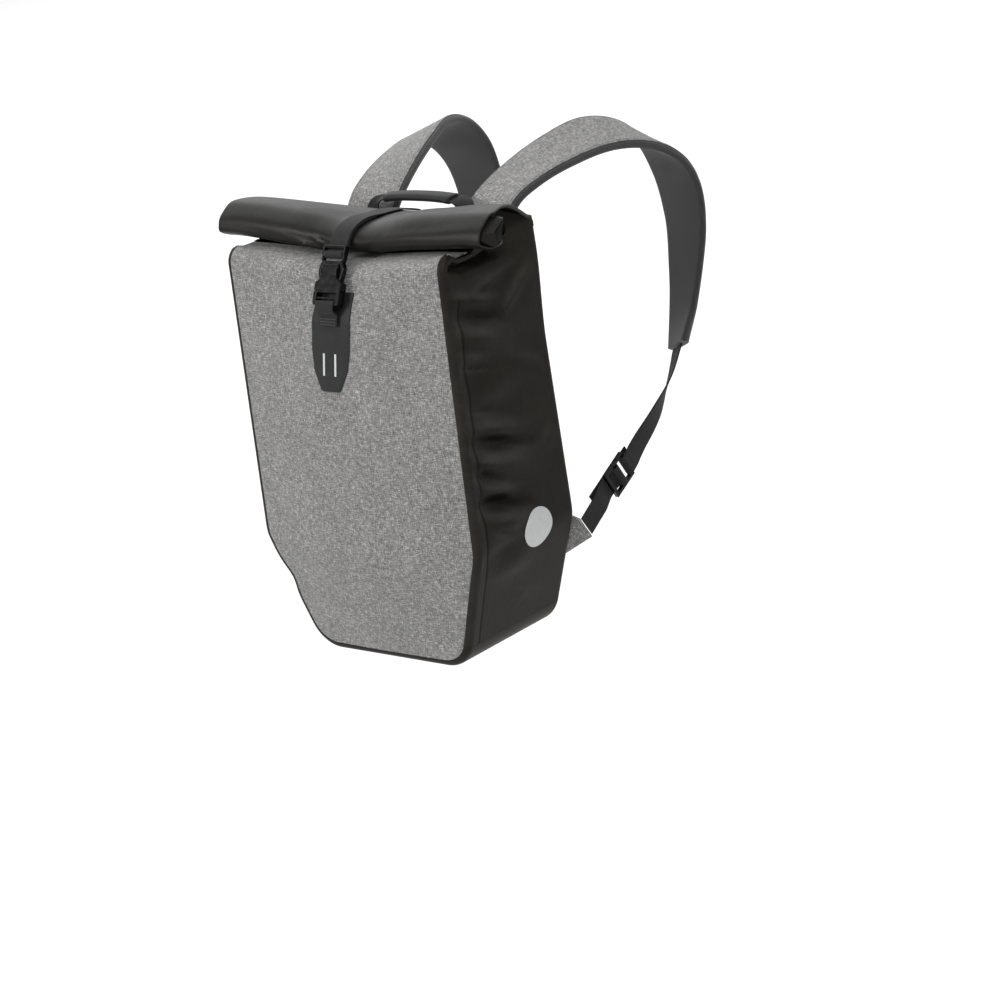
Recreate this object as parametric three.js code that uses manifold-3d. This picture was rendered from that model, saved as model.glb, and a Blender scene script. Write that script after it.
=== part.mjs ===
// A roll-top bicycle messenger backpack as it hangs on a wearer. Millimetres, +Z up.
// +Y points towards the wearer, the front panel faces -Y and the wearer's right is +X.
// Heights are counted from the ground under the bag, and the whole group is lowered at the end,
// so that the origin lies on the back face between the shoulder strap roots.
import * as THREE from "three";
import { mergeVertices } from "three/addons/utils/BufferGeometryUtils.js";
import Module from "manifold-3d";

const wasm = await Module();
wasm.setup();

// Bag body
const bagHalfWidth = 152;
const topFlare = 6; // the side walls stand out by this much at the top of the back
const footHalfWidth = 103; // where the tapered side would meet the ground
const footRadius = 40;
const taperHeight = 125;
const taperRadius = 45;
const footDepth = 147;
const bagDepth = 153; // at the top of the taper
const topDepth = 138; // under the roll
const frontHeight = 410; // where the front panel turns back under the roll
const frontBend = 17;
const frontLip = 24; // flat run of the front panel under the roll
const backRise = 18; // the back panel ends this much higher than the front
const backHeight = frontHeight + backRise;
const frontCrown = 19; // how far the filled front stands out in the middle
const frontEdgeRadius = 7;
const backEdgeRadius = 8;
const cloth = 1.6;
const backCloth = 2.4;
const seamGap = 0.3;
const panelGap = 0.85; // round the edges of the front and back panels
const restGap = 0.45; // between a piece and the curved cloth that it lies on

// Roll-top closure
const collarStand = 4; // upright run of the collar over the back panel
const collarFold = 10; // radius where the collar folds forward at the top of the back
const rollAhead = 92; // back face to the middle of the roll
const rollDepth = 62;
const rollTall = 38;
const rollTurns = 2.4;
const rollPitch = 6.8;
const rollCloth = 2.2;
const rollOuterHalf = 162; // the outermost wrap
const rollCoreHalf = 180; // the inner wraps stand out of it
const rollShift = 8; // the roll lies a little to the right
const rollSag = 9; // the strap pulls the middle down
const rollSagHalf = 66;
const rollSqueeze = 0.14;
const rollPull = 6; // the strap pulls the middle of the roll back

// Closure strap and buckle
const webWidth = 25;
const webThick = 1.6;
const strapSide = 1; // place of the strap across the bag
const strapPull = 15; // the tight strap pulls the top of the front in by this much
const strapPullHalf = 52;
const strapPullFoot = 366; // height where the pull begins
const strapPullTop = 420;
const buckleTilt = 26; // degrees that the buckle leans in towards the roll
const buckleFoot = 381; // height of the socket's lower end
const plugThick = 6;
const plugFrame = 19; // webbing frame at the plug's top
const socketWidth = 36; // the frame of the sewn loop
const socketBodyWidth = 31;
const socketThick = 9.5;
const socketFrameThick = 7.6;
const socketLength = 42;
const barThick = 3;
const railWidth = 2.6;
const socketSlot = 6; // open length for the sewn loop
const socketFloor = 2;
const socketWall = 2.2;
const notchFoot = 20; // side window where an arm shows
const notchLength = 14;
const armWidth = 3;
const armFoot = 16.5;
const bulge = 2.3; // the arm stands out in its window
const tongueWidth = 7;
const fitGap = 0.4;
const plugWidth = webWidth + 2 * (fitGap + railWidth);
const loopFoot = 361; // lower end of the webbing loop sewn to the patch
const patchTopSide = 3; // the patch hangs a little askew
const patchFootSide = -6;
const patchGap = 0.75;
const patchTop = 392;
const patchFoot = 294;
const patchTaper = 316;
const patchTopHalf = 24;
const patchWideHalf = 26;
const patchTaperHalf = 23.5;
const patchFootHalf = 13;
const patchThick = 1.2;
const stripeLength = 22.5;
const stripeWidth = 2.4;
const stripeThick = 0.6;
const stripeSpread = 8; // each side of the middle
const stripeFoot = 310;

// Carry handle
const handleHalfSpan = 70;
const handleRise = 24; // over the top of the back panel
const handleLean = 5; // the arch stands off the back
const handleWidth = 18;
const gripHalf = 46;
const gripWidth = 21;
const gripThick = 9;

// Shoulder straps: a pad, then webbing through an adjuster to a wing at the bag's foot
const padWidth = 68;
const padEndWidth = 44;
const padThick = 8;
const coverThick = 1.5;
const coverMargin = 3.5;
const strapRootSide = 80;
const strapShoulderSide = 142;
const strapReach = 246; // back face to the strap on the wearer's chest
const strapRise = 53; // shoulder over the top of the back panel
const padEndHeight = 240;
const wingTopHeight = 121;
const wingFootHeight = 72;
const wingThick = 2.6;
const wingLength = 20;
const lockLength = 34;
const lockWidth = 33;
const lockThick = 4.4;
const lockBar = 4;
const lockShare = 0.262; // place of the adjuster on the way from the wing to the pad
const tailLength = 46; // free end of the webbing, behind itself
const tailFold = 15; // sewn end of the short webbing behind the adjuster's bar
const upperLead = 24; // where the short webbing leaves its straight run for the adjuster
const lowerLead = 16; // the same for the long webbing

// Reflective disc on the right side
const discRadius = 21;
const discAhead = 59;
const discHeight = 129;
const discThick = 0.6;

// Height of the origin over the ground
const originHeight = 400;

// Each row is one soft dent or bulge of a side wall. Height is a share of the front height,
// ahead a share of the depth, and tall and deep are half sizes as the same shares.
const sideDents = [
  { height: 0.765, ahead: 0.72, tall: 0.03, deep: 0.2, inward: 3.4 },
  { height: 0.7, ahead: 0.66, tall: 0.03, deep: 0.24, inward: -2.6 },
  { height: 0.6, ahead: 0.8, tall: 0.026, deep: 0.14, inward: 1.6 },
  { height: 0.425, ahead: 0.74, tall: 0.03, deep: 0.2, inward: 4.2 },
  { height: 0.365, ahead: 0.66, tall: 0.03, deep: 0.26, inward: -2.6 },
  { height: 0.3, ahead: 0.7, tall: 0.024, deep: 0.18, inward: 3.6 },
  { height: 0.245, ahead: 0.64, tall: 0.026, deep: 0.2, inward: -2.0 },
  { height: 0.86, ahead: 0.55, tall: 0.09, deep: 0.3, inward: -4.5 },
];
// Heights of the walls' rows over the taper, as shares of the front height: closer where dents are
const sideHeights = [0.365, 0.395, 0.425, 0.455, 0.51, 0.56, 0.6, 0.65, 0.7, 0.735, 0.765, 0.81, 0.87, 0.93, 0.97];
// Soft dents of the front panel: side is a share of the half width, inward in millimetres.
const frontDents = [
  { side: -0.62, height: 0.94, wide: 0.16, tall: 0.05, inward: 3.5 },
  { side: 0.7, height: 0.5, wide: 0.18, tall: 0.03, inward: 2.6 },
  { side: 0.62, height: 0.56, wide: 0.24, tall: 0.035, inward: -1.6 },
  { side: -0.8, height: 0.44, wide: 0.1, tall: 0.12, inward: 2.4 },
  { side: -0.86, height: 0.22, wide: 0.12, tall: 0.06, inward: 3 },
];
// The shoulder pad's middle line from its root to its end. Out runs from the root's place to the
// shoulder's, ahead is a share of the reach, up runs from the pad's end to the shoulder, and the
// last three columns are the way from the strap's inner edge to its outer edge.
const padRows = [
  { out: 0.0, ahead: 0.0, up: 0.573, wx: 1, wy: 0, wz: 0 },
  { out: 0.0, ahead: 0.0, up: 0.664, wx: 1, wy: 0, wz: 0 },
  { out: 0.01, ahead: 0.008, up: 0.763, wx: 1, wy: -0.04, wz: 0 },
  { out: 0.06, ahead: 0.078, up: 0.846, wx: 1, wy: -0.12, wz: -0.02 },
  { out: 0.19, ahead: 0.215, up: 0.917, wx: 1, wy: -0.24, wz: -0.14 },
  { out: 0.39, ahead: 0.41, up: 0.975, wx: 1, wy: -0.32, wz: -0.3 },
  { out: 0.61, ahead: 0.6, up: 1.0, wx: 1, wy: -0.26, wz: -0.4 },
  { out: 0.81, ahead: 0.765, up: 0.955, wx: 1, wy: -0.2, wz: -0.36 },
  { out: 0.94, ahead: 0.89, up: 0.855, wx: 1, wy: -0.2, wz: -0.2 },
  { out: 1.0, ahead: 0.963, up: 0.714, wx: 1, wy: -0.16, wz: 0 },
  { out: 1.0, ahead: 0.985, up: 0.519, wx: 1, wy: -0.16, wz: 0 },
  { out: 0.97, ahead: 0.955, up: 0.324, wx: 1, wy: -0.2, wz: 0.06 },
  { out: 0.99, ahead: 0.89, up: 0.145, wx: 1, wy: -0.32, wz: 0.14 },
  { out: 1.07, ahead: 0.795, up: 0.0, wx: 1, wy: -0.52, wz: 0.4 },
];
// The webbing from the pad's end to the wing. Along is a share of the straight way, out and up
// are how far it stands off that way, as shares of its length.
const webRows = [
  { along: 0.0, out: 0, up: 0, wx: 1, wy: -0.52, wz: 0.4 },
  { along: 0.14, out: 0.02, up: -0.034, wx: 0.8, wy: -0.5, wz: 0.6 },
  { along: 0.3, out: 0.03, up: -0.05, wx: 0.3, wy: -0.5, wz: 0.8 },
  { along: 0.5, out: 0.02, up: -0.046, wx: 0.06, wy: -0.5, wz: 0.85 },
  { along: 0.76, out: 0.006, up: -0.021, wx: 0, wy: -0.5, wz: 0.83 },
  { along: 1.0, out: 0, up: 0, wx: 0, wy: -0.6, wz: 0.78 },
];

// Small helpers
const radians = THREE.MathUtils.degToRad;
const lerp = THREE.MathUtils.lerp;
const smooth = (low, high, value) => THREE.MathUtils.smoothstep(value, low, high);
const bell = (x) => Math.exp(-x * x);
const vec = (x, y, z) => new THREE.Vector3(x, y, z);
const steps = (count) => Array.from({ length: count + 1 }, (_, i) => i / count);

function material(color, roughness, metalness = 0) {
  return new THREE.MeshStandardMaterial({ color, roughness, metalness });
}
const heather = material(0x7c7c7d, 0.9);
const tarpaulin = material(0x26262a, 0.5);
const webbing = material(0x1a1a1c, 0.8);
const mesh3d = material(0x1d1d20, 0.95);
const plastic = material(0x151517, 0.35);
const rubberised = material(0x333639, 0.6);
const reflective = material(0xb4b6b8, 0.5);

// A geometry from points and triangles, turned so that its faces point out
function closed(points, index) {
  let volume = 0;
  for (let i = 0; i < index.length; i += 3) {
    const [a, b, c] = [points[index[i]], points[index[i + 1]], points[index[i + 2]]];
    volume += a.dot(b.clone().cross(c));
  }
  const faces = volume < 0 ? index.slice().reverse() : index;
  const geometry = new THREE.BufferGeometry();
  geometry.setAttribute("position", new THREE.Float32BufferAttribute(points.flatMap((p) => [...p]), 3));
  geometry.setIndex(faces);
  geometry.computeVertexNormals();
  return geometry;
}

// A closed sheet between two grids of points with as many rows and columns
function sheetBetween(outer, inner) {
  const rows = outer.length;
  const cols = outer[0].length;
  const index = [];
  const at = (i, j, side) => (side * rows + i) * cols + j;
  const quad = (a, b, c, d) => index.push(a, b, c, a, c, d);
  for (let i = 0; i < rows - 1; i++) {
    for (let j = 0; j < cols - 1; j++) {
      quad(at(i, j, 0), at(i, j + 1, 0), at(i + 1, j + 1, 0), at(i + 1, j, 0));
      quad(at(i, j, 1), at(i + 1, j, 1), at(i + 1, j + 1, 1), at(i, j + 1, 1));
    }
  }
  const lastRow = rows - 1;
  const lastCol = cols - 1;
  for (let j = 0; j < lastCol; j++) {
    quad(at(0, j, 0), at(0, j, 1), at(0, j + 1, 1), at(0, j + 1, 0));
    quad(at(lastRow, j, 0), at(lastRow, j + 1, 0), at(lastRow, j + 1, 1), at(lastRow, j, 1));
  }
  for (let i = 0; i < lastRow; i++) {
    quad(at(i, 0, 0), at(i + 1, 0, 0), at(i + 1, 0, 1), at(i, 0, 1));
    quad(at(i, lastCol, 0), at(i, lastCol, 1), at(i + 1, lastCol, 1), at(i + 1, lastCol, 0));
  }
  return closed([...outer.flat(), ...inner.flat()], index);
}

// The normals of a grid of points
function gridNormals(grid) {
  const near = (list, i) => [list[Math.max(i - 1, 0)], list[Math.min(i + 1, list.length - 1)]];
  return grid.map((row, i) =>
    row.map((_, j) => {
      const [left, right] = near(row, j);
      const [below, above] = near(grid, i).map((r) => r[j]);
      return right.clone().sub(left).cross(above.clone().sub(below)).normalize();
    }),
  );
}

// A grid moved along its normals
function offsetGrid(grid, distance) {
  const normals = gridNormals(grid);
  return grid.map((row, i) => row.map((p, j) => p.clone().addScaledVector(normals[i][j], distance)));
}

// A sheet of cloth whose outer face is the grid; the thickness goes against the grid's normals
function clothSheet(grid, thickness) {
  return sheetBetween(grid, offsetGrid(grid, -thickness));
}

// A solid through closed sections that have as many points, with flat ends
function loft(sections) {
  const count = sections[0].length;
  const points = sections.flat();
  const index = [];
  for (let i = 0; i < sections.length - 1; i++) {
    for (let j = 0; j < count; j++) {
      const next = (j + 1) % count;
      const [a, b] = [i * count + j, i * count + next];
      const [c, d] = [a + count, b + count];
      index.push(a, b, d, a, d, c);
    }
  }
  const last = (sections.length - 1) * count;
  for (let j = 1; j < count - 1; j++) {
    index.push(0, j + 1, j);
    index.push(last, last + j, last + j + 1);
  }
  return closed(points, index);
}

// Joining and cutting
function solid(geometry) {
  const bare = geometry.index ? geometry.toNonIndexed() : geometry.clone();
  for (const name of Object.keys(bare.attributes)) if (name !== "position") bare.deleteAttribute(name);
  const merged = mergeVertices(bare, 1e-4);
  return new wasm.Manifold(
    new wasm.Mesh({
      numProp: 3,
      vertProperties: merged.attributes.position.array,
      triVerts: new Uint32Array(merged.index.array),
    }),
  );
}

function geometryOf(body) {
  const made = body.getMesh();
  const geometry = new THREE.BufferGeometry();
  geometry.setAttribute("position", new THREE.BufferAttribute(new Float32Array(made.vertProperties), 3));
  geometry.setIndex(new THREE.BufferAttribute(new Uint32Array(made.triVerts), 1));
  geometry.computeVertexNormals();
  return geometry;
}

function box(width, height, depth, x, y, z) {
  return solid(new THREE.BoxGeometry(width, height, depth).translate(x, y, z));
}

const outside = 3 * bagDepth; // a distance well clear of the bag

// The point of a made piece that a straight look from outside meets first
function surfaceAt(geometry, from, way) {
  const caster = new THREE.Raycaster(from, way);
  const target = new THREE.Mesh(geometry, new THREE.MeshStandardMaterial({ side: THREE.DoubleSide }));
  return caster.intersectObject(target)[0].point;
}

// The U-shaped outline of the bag, right half, from the middle of the base to the top of a side.
// Each place on it has x, z and the outward normal nx, nz.
function outlineRun(from, to, radius, rest) {
  const arm = (a, b) => {
    const length = Math.hypot(b.x - a.x, b.z - a.z);
    return { x: (b.x - a.x) / length, z: (b.z - a.z) / length, length };
  };
  const before = arm(from, to);
  const after = arm(to, rest);
  const turn = Math.acos(before.x * after.x + before.z * after.z);
  const cut = radius * Math.tan(turn / 2);
  const start = { x: to.x - before.x * cut, z: to.z - before.z * cut };
  const centre = { x: start.x - before.z * radius, z: start.z + before.x * radius };
  return { before, turn, start, centre, radius };
}

function cornerPlaces(corner, count) {
  const first = Math.atan2(-corner.before.x, corner.before.z);
  return steps(count).map((share) => {
    const angle = first + corner.turn * share;
    const [nx, nz] = [Math.cos(angle), Math.sin(angle)];
    return { x: corner.centre.x + corner.radius * nx, z: corner.centre.z + corner.radius * nz, nx, nz };
  });
}

const footCorner = outlineRun(
  { x: 0, z: 0 },
  { x: footHalfWidth, z: 0 },
  footRadius,
  { x: bagHalfWidth, z: taperHeight },
);
const taperCorner = outlineRun(
  { x: footHalfWidth, z: 0 },
  { x: bagHalfWidth, z: taperHeight },
  taperRadius,
  { x: bagHalfWidth, z: frontHeight },
);
const cornerRows = cornerPlaces(footCorner, 4);
const footEnd = cornerRows[cornerRows.length - 1];
const taperRows = cornerPlaces(taperCorner, 2);

function between(a, b, count) {
  return steps(count)
    .slice(1, -1)
    .map((t) => ({ x: lerp(a.x, b.x, t), z: lerp(a.z, b.z, t), nx: b.nx, nz: b.nz }));
}

const sideStart = taperRows[taperRows.length - 1];
const sideEnd = { x: bagHalfWidth, z: frontHeight, nx: 1, nz: 0 };
const sideRows = [
  footEnd,
  ...between(footEnd, { ...taperRows[0], nx: footEnd.nx, nz: footEnd.nz }, 3),
  ...taperRows,
  ...sideHeights.map((share) => ({ ...sideEnd, z: share * frontHeight })),
  sideEnd,
];

// Depth of the bag's box at a height
function depthAt(z) {
  if (z < taperHeight) return lerp(footDepth, bagDepth, smooth(0, taperHeight, z));
  return lerp(bagDepth, topDepth, Math.min((z - taperHeight) / (frontHeight - taperHeight), 1));
}

function dentsAt(table, first, second, names) {
  const [a, b, halfA, halfB] = names;
  return table.reduce(
    (sum, row) => sum + row.inward * bell((first - row[a]) / row[halfA]) * bell((second - row[b]) / row[halfB]),
    0,
  );
}

// How far the front stands out of the box, at a share of the half width and a height
function frontOut(side, z) {
  const across = Math.max(1 - side * side, 0);
  const low = smooth(0, taperHeight, z) ** 0.6;
  const high = 1 - 0.55 * smooth(0.55, 1, z / frontHeight);
  const dents = dentsAt(frontDents, side, z / frontHeight, ["side", "height", "wide", "tall"]);
  return frontCrown * across * low * high - dents * Math.min(across * 4, 1);
}

// The outline's left side has a soft dip in its tapered part
const leftDip = { height: 76, half: 15, inward: 6 };

function outlineHalf(place, side, inset) {
  const dip = side < 0 ? leftDip.inward * bell((place.z - leftDip.height) / leftDip.half) : 0;
  return place.x - place.nx * (inset + dip);
}

const strapColumn = webWidth / 2 + 1.5;
// Distance across the bag from the flat strip under the strap
const offStrap = (x) => Math.max(Math.abs(x - strapSide) - strapColumn, 0);

const pullAt = (x, z) =>
  strapPull * bell(offStrap(x) / strapPullHalf) * smooth(strapPullFoot, strapPullTop, z);

const sagAt = (x) => rollSag * bell(offStrap(x) / rollSagHalf);

const acrossSteps = 12;
const bendSteps = 3;

function frontPanel() {
  const inset = frontEdgeRadius + panelGap;
  const across = (place) => steps(acrossSteps).map((t) => {
    const [left, right] = [-1, 1].map((side) => side * outlineHalf(place, side, inset));
    return { x: lerp(left, right, t), share: 2 * t - 1 };
  });
  const rows = [...cornerRows, ...sideRows.slice(1)].map((place) => {
    const z = place.z - place.nz * inset;
    return across(place).map(({ x, share }) => {
      const drop = sagAt(x) * smooth(0.8, 1, z / frontHeight);
      return vec(x, -depthAt(z) - frontOut(share, z) + pullAt(x, z), z - drop);
    });
  });
  const bent = (x, share, angle, run) => {
    const start = -topDepth - frontOut(share, frontHeight) * Math.cos(angle) + pullAt(x, frontHeight);
    const y = Math.min(start + frontBend * (1 - Math.cos(angle)) + run, -rollAhead + rollDepth * 0.2);
    return vec(x, y, frontHeight + frontBend * Math.sin(angle) - sagAt(x));
  };
  for (const turn of steps(bendSteps).slice(1)) {
    rows.push(across(sideEnd).map(({ x, share }) => bent(x, share, (turn * Math.PI) / 2, 0)));
  }
  rows.push(across(sideEnd).map(({ x, share }) => bent(x, share, Math.PI / 2, frontLip)));
  return clothSheet(rows, cloth);
}

// Height of the side wall's upper edge: low under the roll, then up to the collar behind it
function sideTopAt(y) {
  const behind = -rollAhead + rollDepth / 2 + cloth;
  const lip = frontHeight + frontBend - 2;
  const underRoll = y < -rollAhead ? Math.min(rollUnderside(y), lip) : rollUnderside(y - 2);
  const collar = collarHeight(y) - 1.6 * rollCloth - restGap;
  return lerp(Math.min(underRoll - restGap, collar), collar, smooth(behind, behind + 12, y));
}

// How far a side wall stands out of the straight box
function sideOut(y, z) {
  const depth = depthAt(z);
  const ahead = -y / depth;
  const inside = Math.min(smooth(backEdgeRadius, backEdgeRadius + 12, -y), smooth(0, 0.08, 1 - ahead));
  const dents = dentsAt(sideDents, z / frontHeight, ahead, ["height", "ahead", "tall", "deep"]);
  const flare = topFlare * smooth(0.75, 1, z / frontHeight) * (1 - smooth(0.06, 0.5, ahead));
  const high = smooth(0.98, 1.06, z / frontHeight);
  const tuck = 17 * high * bell((ahead - 0.33) / 0.2);
  const creaseLine = frontHeight * (1.012 + 0.012 * (0.8 - ahead));
  const crease = 9 * bell((z - creaseLine) / 4.5) * smooth(0.3, 0.5, ahead) * smooth(0.02, 0.16, 1 - ahead);
  return flare - (dents + tuck + crease) * inside;
}

const sideSteps = 8;
const arcSteps = 3;

// One row of a wall: round the front edge, along the wall and round the back edge
function wallRow(place, wallPoint, count = sideSteps) {
  const normal = vec(place.nx, 0, place.nz);
  const ahead = place.ahead ?? vec(0, -1, 0);
  const corner = place.corner ?? vec(place.x, -depthAt(place.z), place.z);
  const row = steps(arcSteps).map((t) => {
    const angle = (t * Math.PI) / 2;
    return corner
      .clone()
      .addScaledVector(normal, frontEdgeRadius * (Math.sin(angle) - 1))
      .addScaledVector(ahead, frontEdgeRadius * (Math.cos(angle) - 1));
  });
  const first = row[arcSteps];
  for (const t of steps(count).slice(1, -1)) row.push(wallPoint(lerp(first.y, -backEdgeRadius, t)));
  const end = wallPoint(-backEdgeRadius);
  for (const t of steps(arcSteps)) {
    const angle = (t * Math.PI) / 2;
    const turned = end.clone().addScaledVector(normal, backEdgeRadius * (Math.cos(angle) - 1));
    row.push(turned.setY(-backEdgeRadius * (1 - Math.sin(angle))));
  }
  return row;
}

function sideGusset(side) {
  const rows = sideRows.map((place) => {
    const start = place === footEnd ? seamGap / 2 : 0;
    const half = outlineHalf(place, side, 0);
    const moved = { ...place, x: half - place.nz * start, z: place.z + place.nx * start };
    return wallRow(moved, (y) => {
      const out = sideOut(y, moved.z);
      return vec(moved.x + place.nx * out, y, moved.z + place.nz * out);
    });
  });
  const low = frontHeight;
  for (const share of steps(bendSteps).slice(1)) {
    const angle = (share * Math.PI) / 2;
    const [up, back] = [Math.sin(angle), 1 - Math.cos(angle)];
    const place = {
      nx: 1,
      nz: 0,
      ahead: vec(0, -Math.cos(angle), Math.sin(angle)),
      corner: vec(bagHalfWidth, -topDepth + frontBend * back, low + frontBend * up),
    };
    rows.push(
      wallRow(place, (y) => {
        const z = lerp(low, sideTopAt(y), up);
        return vec(bagHalfWidth + sideOut(y, z), y, z);
      }),
    );
  }
  const grid = rows.map((row) => row.map((p) => vec(side * p.x, p.y, p.z)));
  return clothSheet(side < 0 ? grid.map((row) => row.slice().reverse()) : grid, cloth);
}

function basePanel() {
  const corner = cornerRows.map((place, i) => {
    const short = i === cornerRows.length - 1 ? seamGap / 2 : 0;
    return { ...place, x: place.x + place.nz * short, z: place.z - place.nx * short };
  });
  const flat = steps(2)
    .slice(1, -1)
    .map((t) => ({ x: lerp(-corner[0].x, corner[0].x, t), z: 0, nx: 0, nz: -1 }));
  const mirroredRows = corner.map((place) => ({ ...place, x: -place.x, nx: -place.nx })).reverse();
  const rows = [...mirroredRows, ...flat, ...corner].map((place) =>
    wallRow(place, (y) => vec(place.x, y, place.z), 2),
  );
  return clothSheet(rows, cloth);
}

function backPanel() {
  const inset = backEdgeRadius + panelGap;
  const top = { x: bagHalfWidth, z: backHeight, nx: 1, nz: 0 };
  const rows = [...cornerRows, ...sideRows.slice(1), top].map((place) => {
    const out = sideOut(-backEdgeRadius, place.z);
    const [left, right] = [-1, 1].map((side) => side * (outlineHalf(place, side, inset) + place.nx * out));
    const z = Math.min(place.z - place.nz * inset, backHeight);
    return steps(2).map((t) => vec(lerp(right, left, t), 0, z));
  });
  return clothSheet(rows, backCloth);
}

// The collar's run at a place across the bag, then the roll: y and z for a share from 0 to 1
const standShare = 0.02;
const foldShare = 0.06;
const slopeShare = 0.22;

function rollAt(x) {
  const squeeze = 1 - rollSqueeze * bell(offStrap(x) / (rollSagHalf * 0.5));
  const tall = (rollTall / 2) * squeeze;
  const rest = frontHeight + frontBend + restGap;
  const y = -rollAhead + rollPull * bell(offStrap(x) / strapPullHalf);
  return { y, z: rest + tall - sagAt(x), deep: rollDepth / 2, tall };
}

function collarPoint(t, x) {
  const roll = rollAt(x);
  const base = backHeight + seamGap;
  const foldEnd = radians(66);
  const onFold = (angle) => [
    -collarFold * (1 - Math.cos(angle)),
    base + collarStand + collarFold * Math.sin(angle) - sagAt(x) * 0.3 * (angle / foldEnd),
  ];
  if (t < standShare) return [0, base + (collarStand * t) / standShare];
  if (t < foldShare) return onFold((foldEnd * (t - standShare)) / (foldShare - standShare));
  if (t < slopeShare) {
    const s = (t - foldShare) / (slopeShare - foldShare);
    const [y0, z0] = onFold(foldEnd);
    const [y3, z3] = [roll.y, roll.z + roll.tall];
    const reach = (y0 - y3) * 0.38;
    const [y1, z1] = [y0 - reach * Math.sin(foldEnd), z0 + reach * Math.cos(foldEnd)];
    const [y2, z2] = [y3 + reach, z3];
    const mix = (a, b, c, d) => a * (1 - s) ** 3 + 3 * b * s * (1 - s) ** 2 + 3 * c * s * s * (1 - s) + d * s ** 3;
    return [mix(y0, y1, y2, y3), mix(z0, z1, z2, z3)];
  }
  const turns = (rollTurns * (t - slopeShare)) / (1 - slopeShare);
  const angle = Math.PI / 2 + turns * 2 * Math.PI;
  const less = rollPitch * turns;
  return [
    roll.y + Math.max(roll.deep - less, 4) * Math.cos(angle),
    roll.z + Math.max(roll.tall - less, 2.5) * Math.sin(angle),
  ];
}

// Height of the collar's outer face at a distance ahead of the back, at the bag's side
function collarHeight(y) {
  for (const t of steps(40)) {
    const [py, pz] = collarPoint(t * slopeShare, bagHalfWidth);
    if (py <= y) return pz;
  }
  return frontHeight + frontBend + rollTall;
}

// Height of the roll's underside at a distance ahead of the back, at the bag's side
function rollUnderside(y) {
  const { deep, tall, z } = rollAt(bagHalfWidth);
  const share = Math.min(Math.abs(y + rollAhead) / deep, 1);
  return z - tall * Math.sqrt(1 - share * share);
}

// Half length of the collar and of the wraps of the roll
function rollHalf(t) {
  const back = bagHalfWidth + topFlare - backEdgeRadius - 2 * seamGap;
  if (t < foldShare) return back;
  if (t < slopeShare) return lerp(back, rollOuterHalf, (t - foldShare) / (slopeShare - foldShare));
  const turns = (rollTurns * (t - slopeShare)) / (1 - slopeShare);
  return lerp(rollOuterHalf, rollCoreHalf, smooth(0.75, 1.15, turns));
}

const rollColumns = [1, 0.78, 0.56, 0.38, 0.22]; // shares of the half length, each way
const rollSteps = 13; // in one turn

function collarShares() {
  return [
    0,
    ...steps(3).map((t) => lerp(standShare, foldShare, t)),
    ...steps(4).slice(1).map((t) => lerp(foldShare, slopeShare, t)),
    ...steps(Math.round(rollTurns * rollSteps)).slice(1).map((t) => lerp(slopeShare, 1, t)),
  ];
}

function rollTop() {
  const rows = collarShares().map((t) => {
    const half = rollHalf(t);
    const right = rollColumns.map((share) => share * half);
    const middle = [1, 0, -1].map((k) => strapSide + k * strapColumn);
    const left = rollColumns.map((share) => -share * half).reverse();
    return [...right, ...middle, ...left].map((x) => {
      const [y, z] = collarPoint(t, x);
      return vec(x + (rollShift * Math.abs(x) * smooth(foldShare, slopeShare, t)) / half, y, z);
    });
  });
  return clothSheet(rows, rollCloth);
}

// A band along places. Each column says how far it lies across from the middle line, and how far
// the band's two faces stand off that line there.
function band(places, columnsAt, side = 1) {
  const faces = [[], []];
  for (const place of places) {
    const { middle, across, along } = place;
    const way = across.clone().addScaledVector(along, -across.dot(along)).normalize();
    const up = way.clone().cross(along).multiplyScalar(side).normalize();
    const columns = columnsAt(place);
    for (const k of [0, 1]) {
      faces[k].push(
        columns.map((column) =>
          middle.clone().addScaledVector(way, column.at).addScaledVector(up, k ? column.low : column.high),
        ),
      );
    }
  }
  return sheetBetween(faces[0], faces[1]);
}

// Places along a smooth line through rows that have a point and a way across
function placesAlong(rows, count, sizes) {
  const line = new THREE.CatmullRomCurve3(rows.map((row) => row.point), false, "centripetal");
  const ways = new THREE.CatmullRomCurve3(rows.map((row) => row.across), false, "centripetal");
  return steps(count).map((t) => ({
    middle: line.getPoint(t),
    along: line.getTangent(t),
    across: ways.getPoint(t).normalize(),
    ...sizes(t),
  }));
}

const mirrored = (p, side) => vec(side * p.x, p.y, p.z);

// The handle's ends lie between the back and the strap's root, so the pad's middle stands off both
const padSeat = webThick + 3 * restGap + coverThick + seamGap + padThick / 2;
const shoulderHeight = backHeight + strapRise;

function padPath(side) {
  return padRows.map((row) => ({
    point: mirrored(
      vec(
        lerp(strapRootSide, strapShoulderSide, row.out),
        padSeat + row.ahead * strapReach,
        lerp(padEndHeight, shoulderHeight, row.up),
      ),
      side,
    ),
    across: mirrored(vec(row.wx, row.wy, row.wz), side),
  }));
}

const padWidthAt = (t) => lerp(padWidth, padEndWidth, smooth(0.62, 1, t));
const padSteps = 24;
const padColumns = [-1, 0, 1]; // shares of the cover's half width

function padPlaces(side) {
  return placesAlong(padPath(side), padSteps, (t) => ({ width: padWidthAt(t) }));
}

function shoulderPad(side) {
  const half = padThick / 2;
  return band(
    padPlaces(side),
    ({ width }) => {
      const edge = width / 2;
      const inner = padColumns.map((share) => ({ at: share * (edge - coverMargin), high: half, low: -half }));
      const rim = (sign) => ({ at: sign * edge, high: half * 0.4, low: -half * 0.4 });
      return [rim(-1), ...inner, rim(1)];
    },
    side,
  );
}

// The woven cover on the pad's outer face
function shoulderCover(side) {
  const low = padThick / 2 + seamGap;
  return band(
    padPlaces(side),
    ({ width }) =>
      padColumns.map((share) => ({ at: share * (width / 2 - coverMargin), high: low + coverThick, low })),
    side,
  );
}

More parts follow.
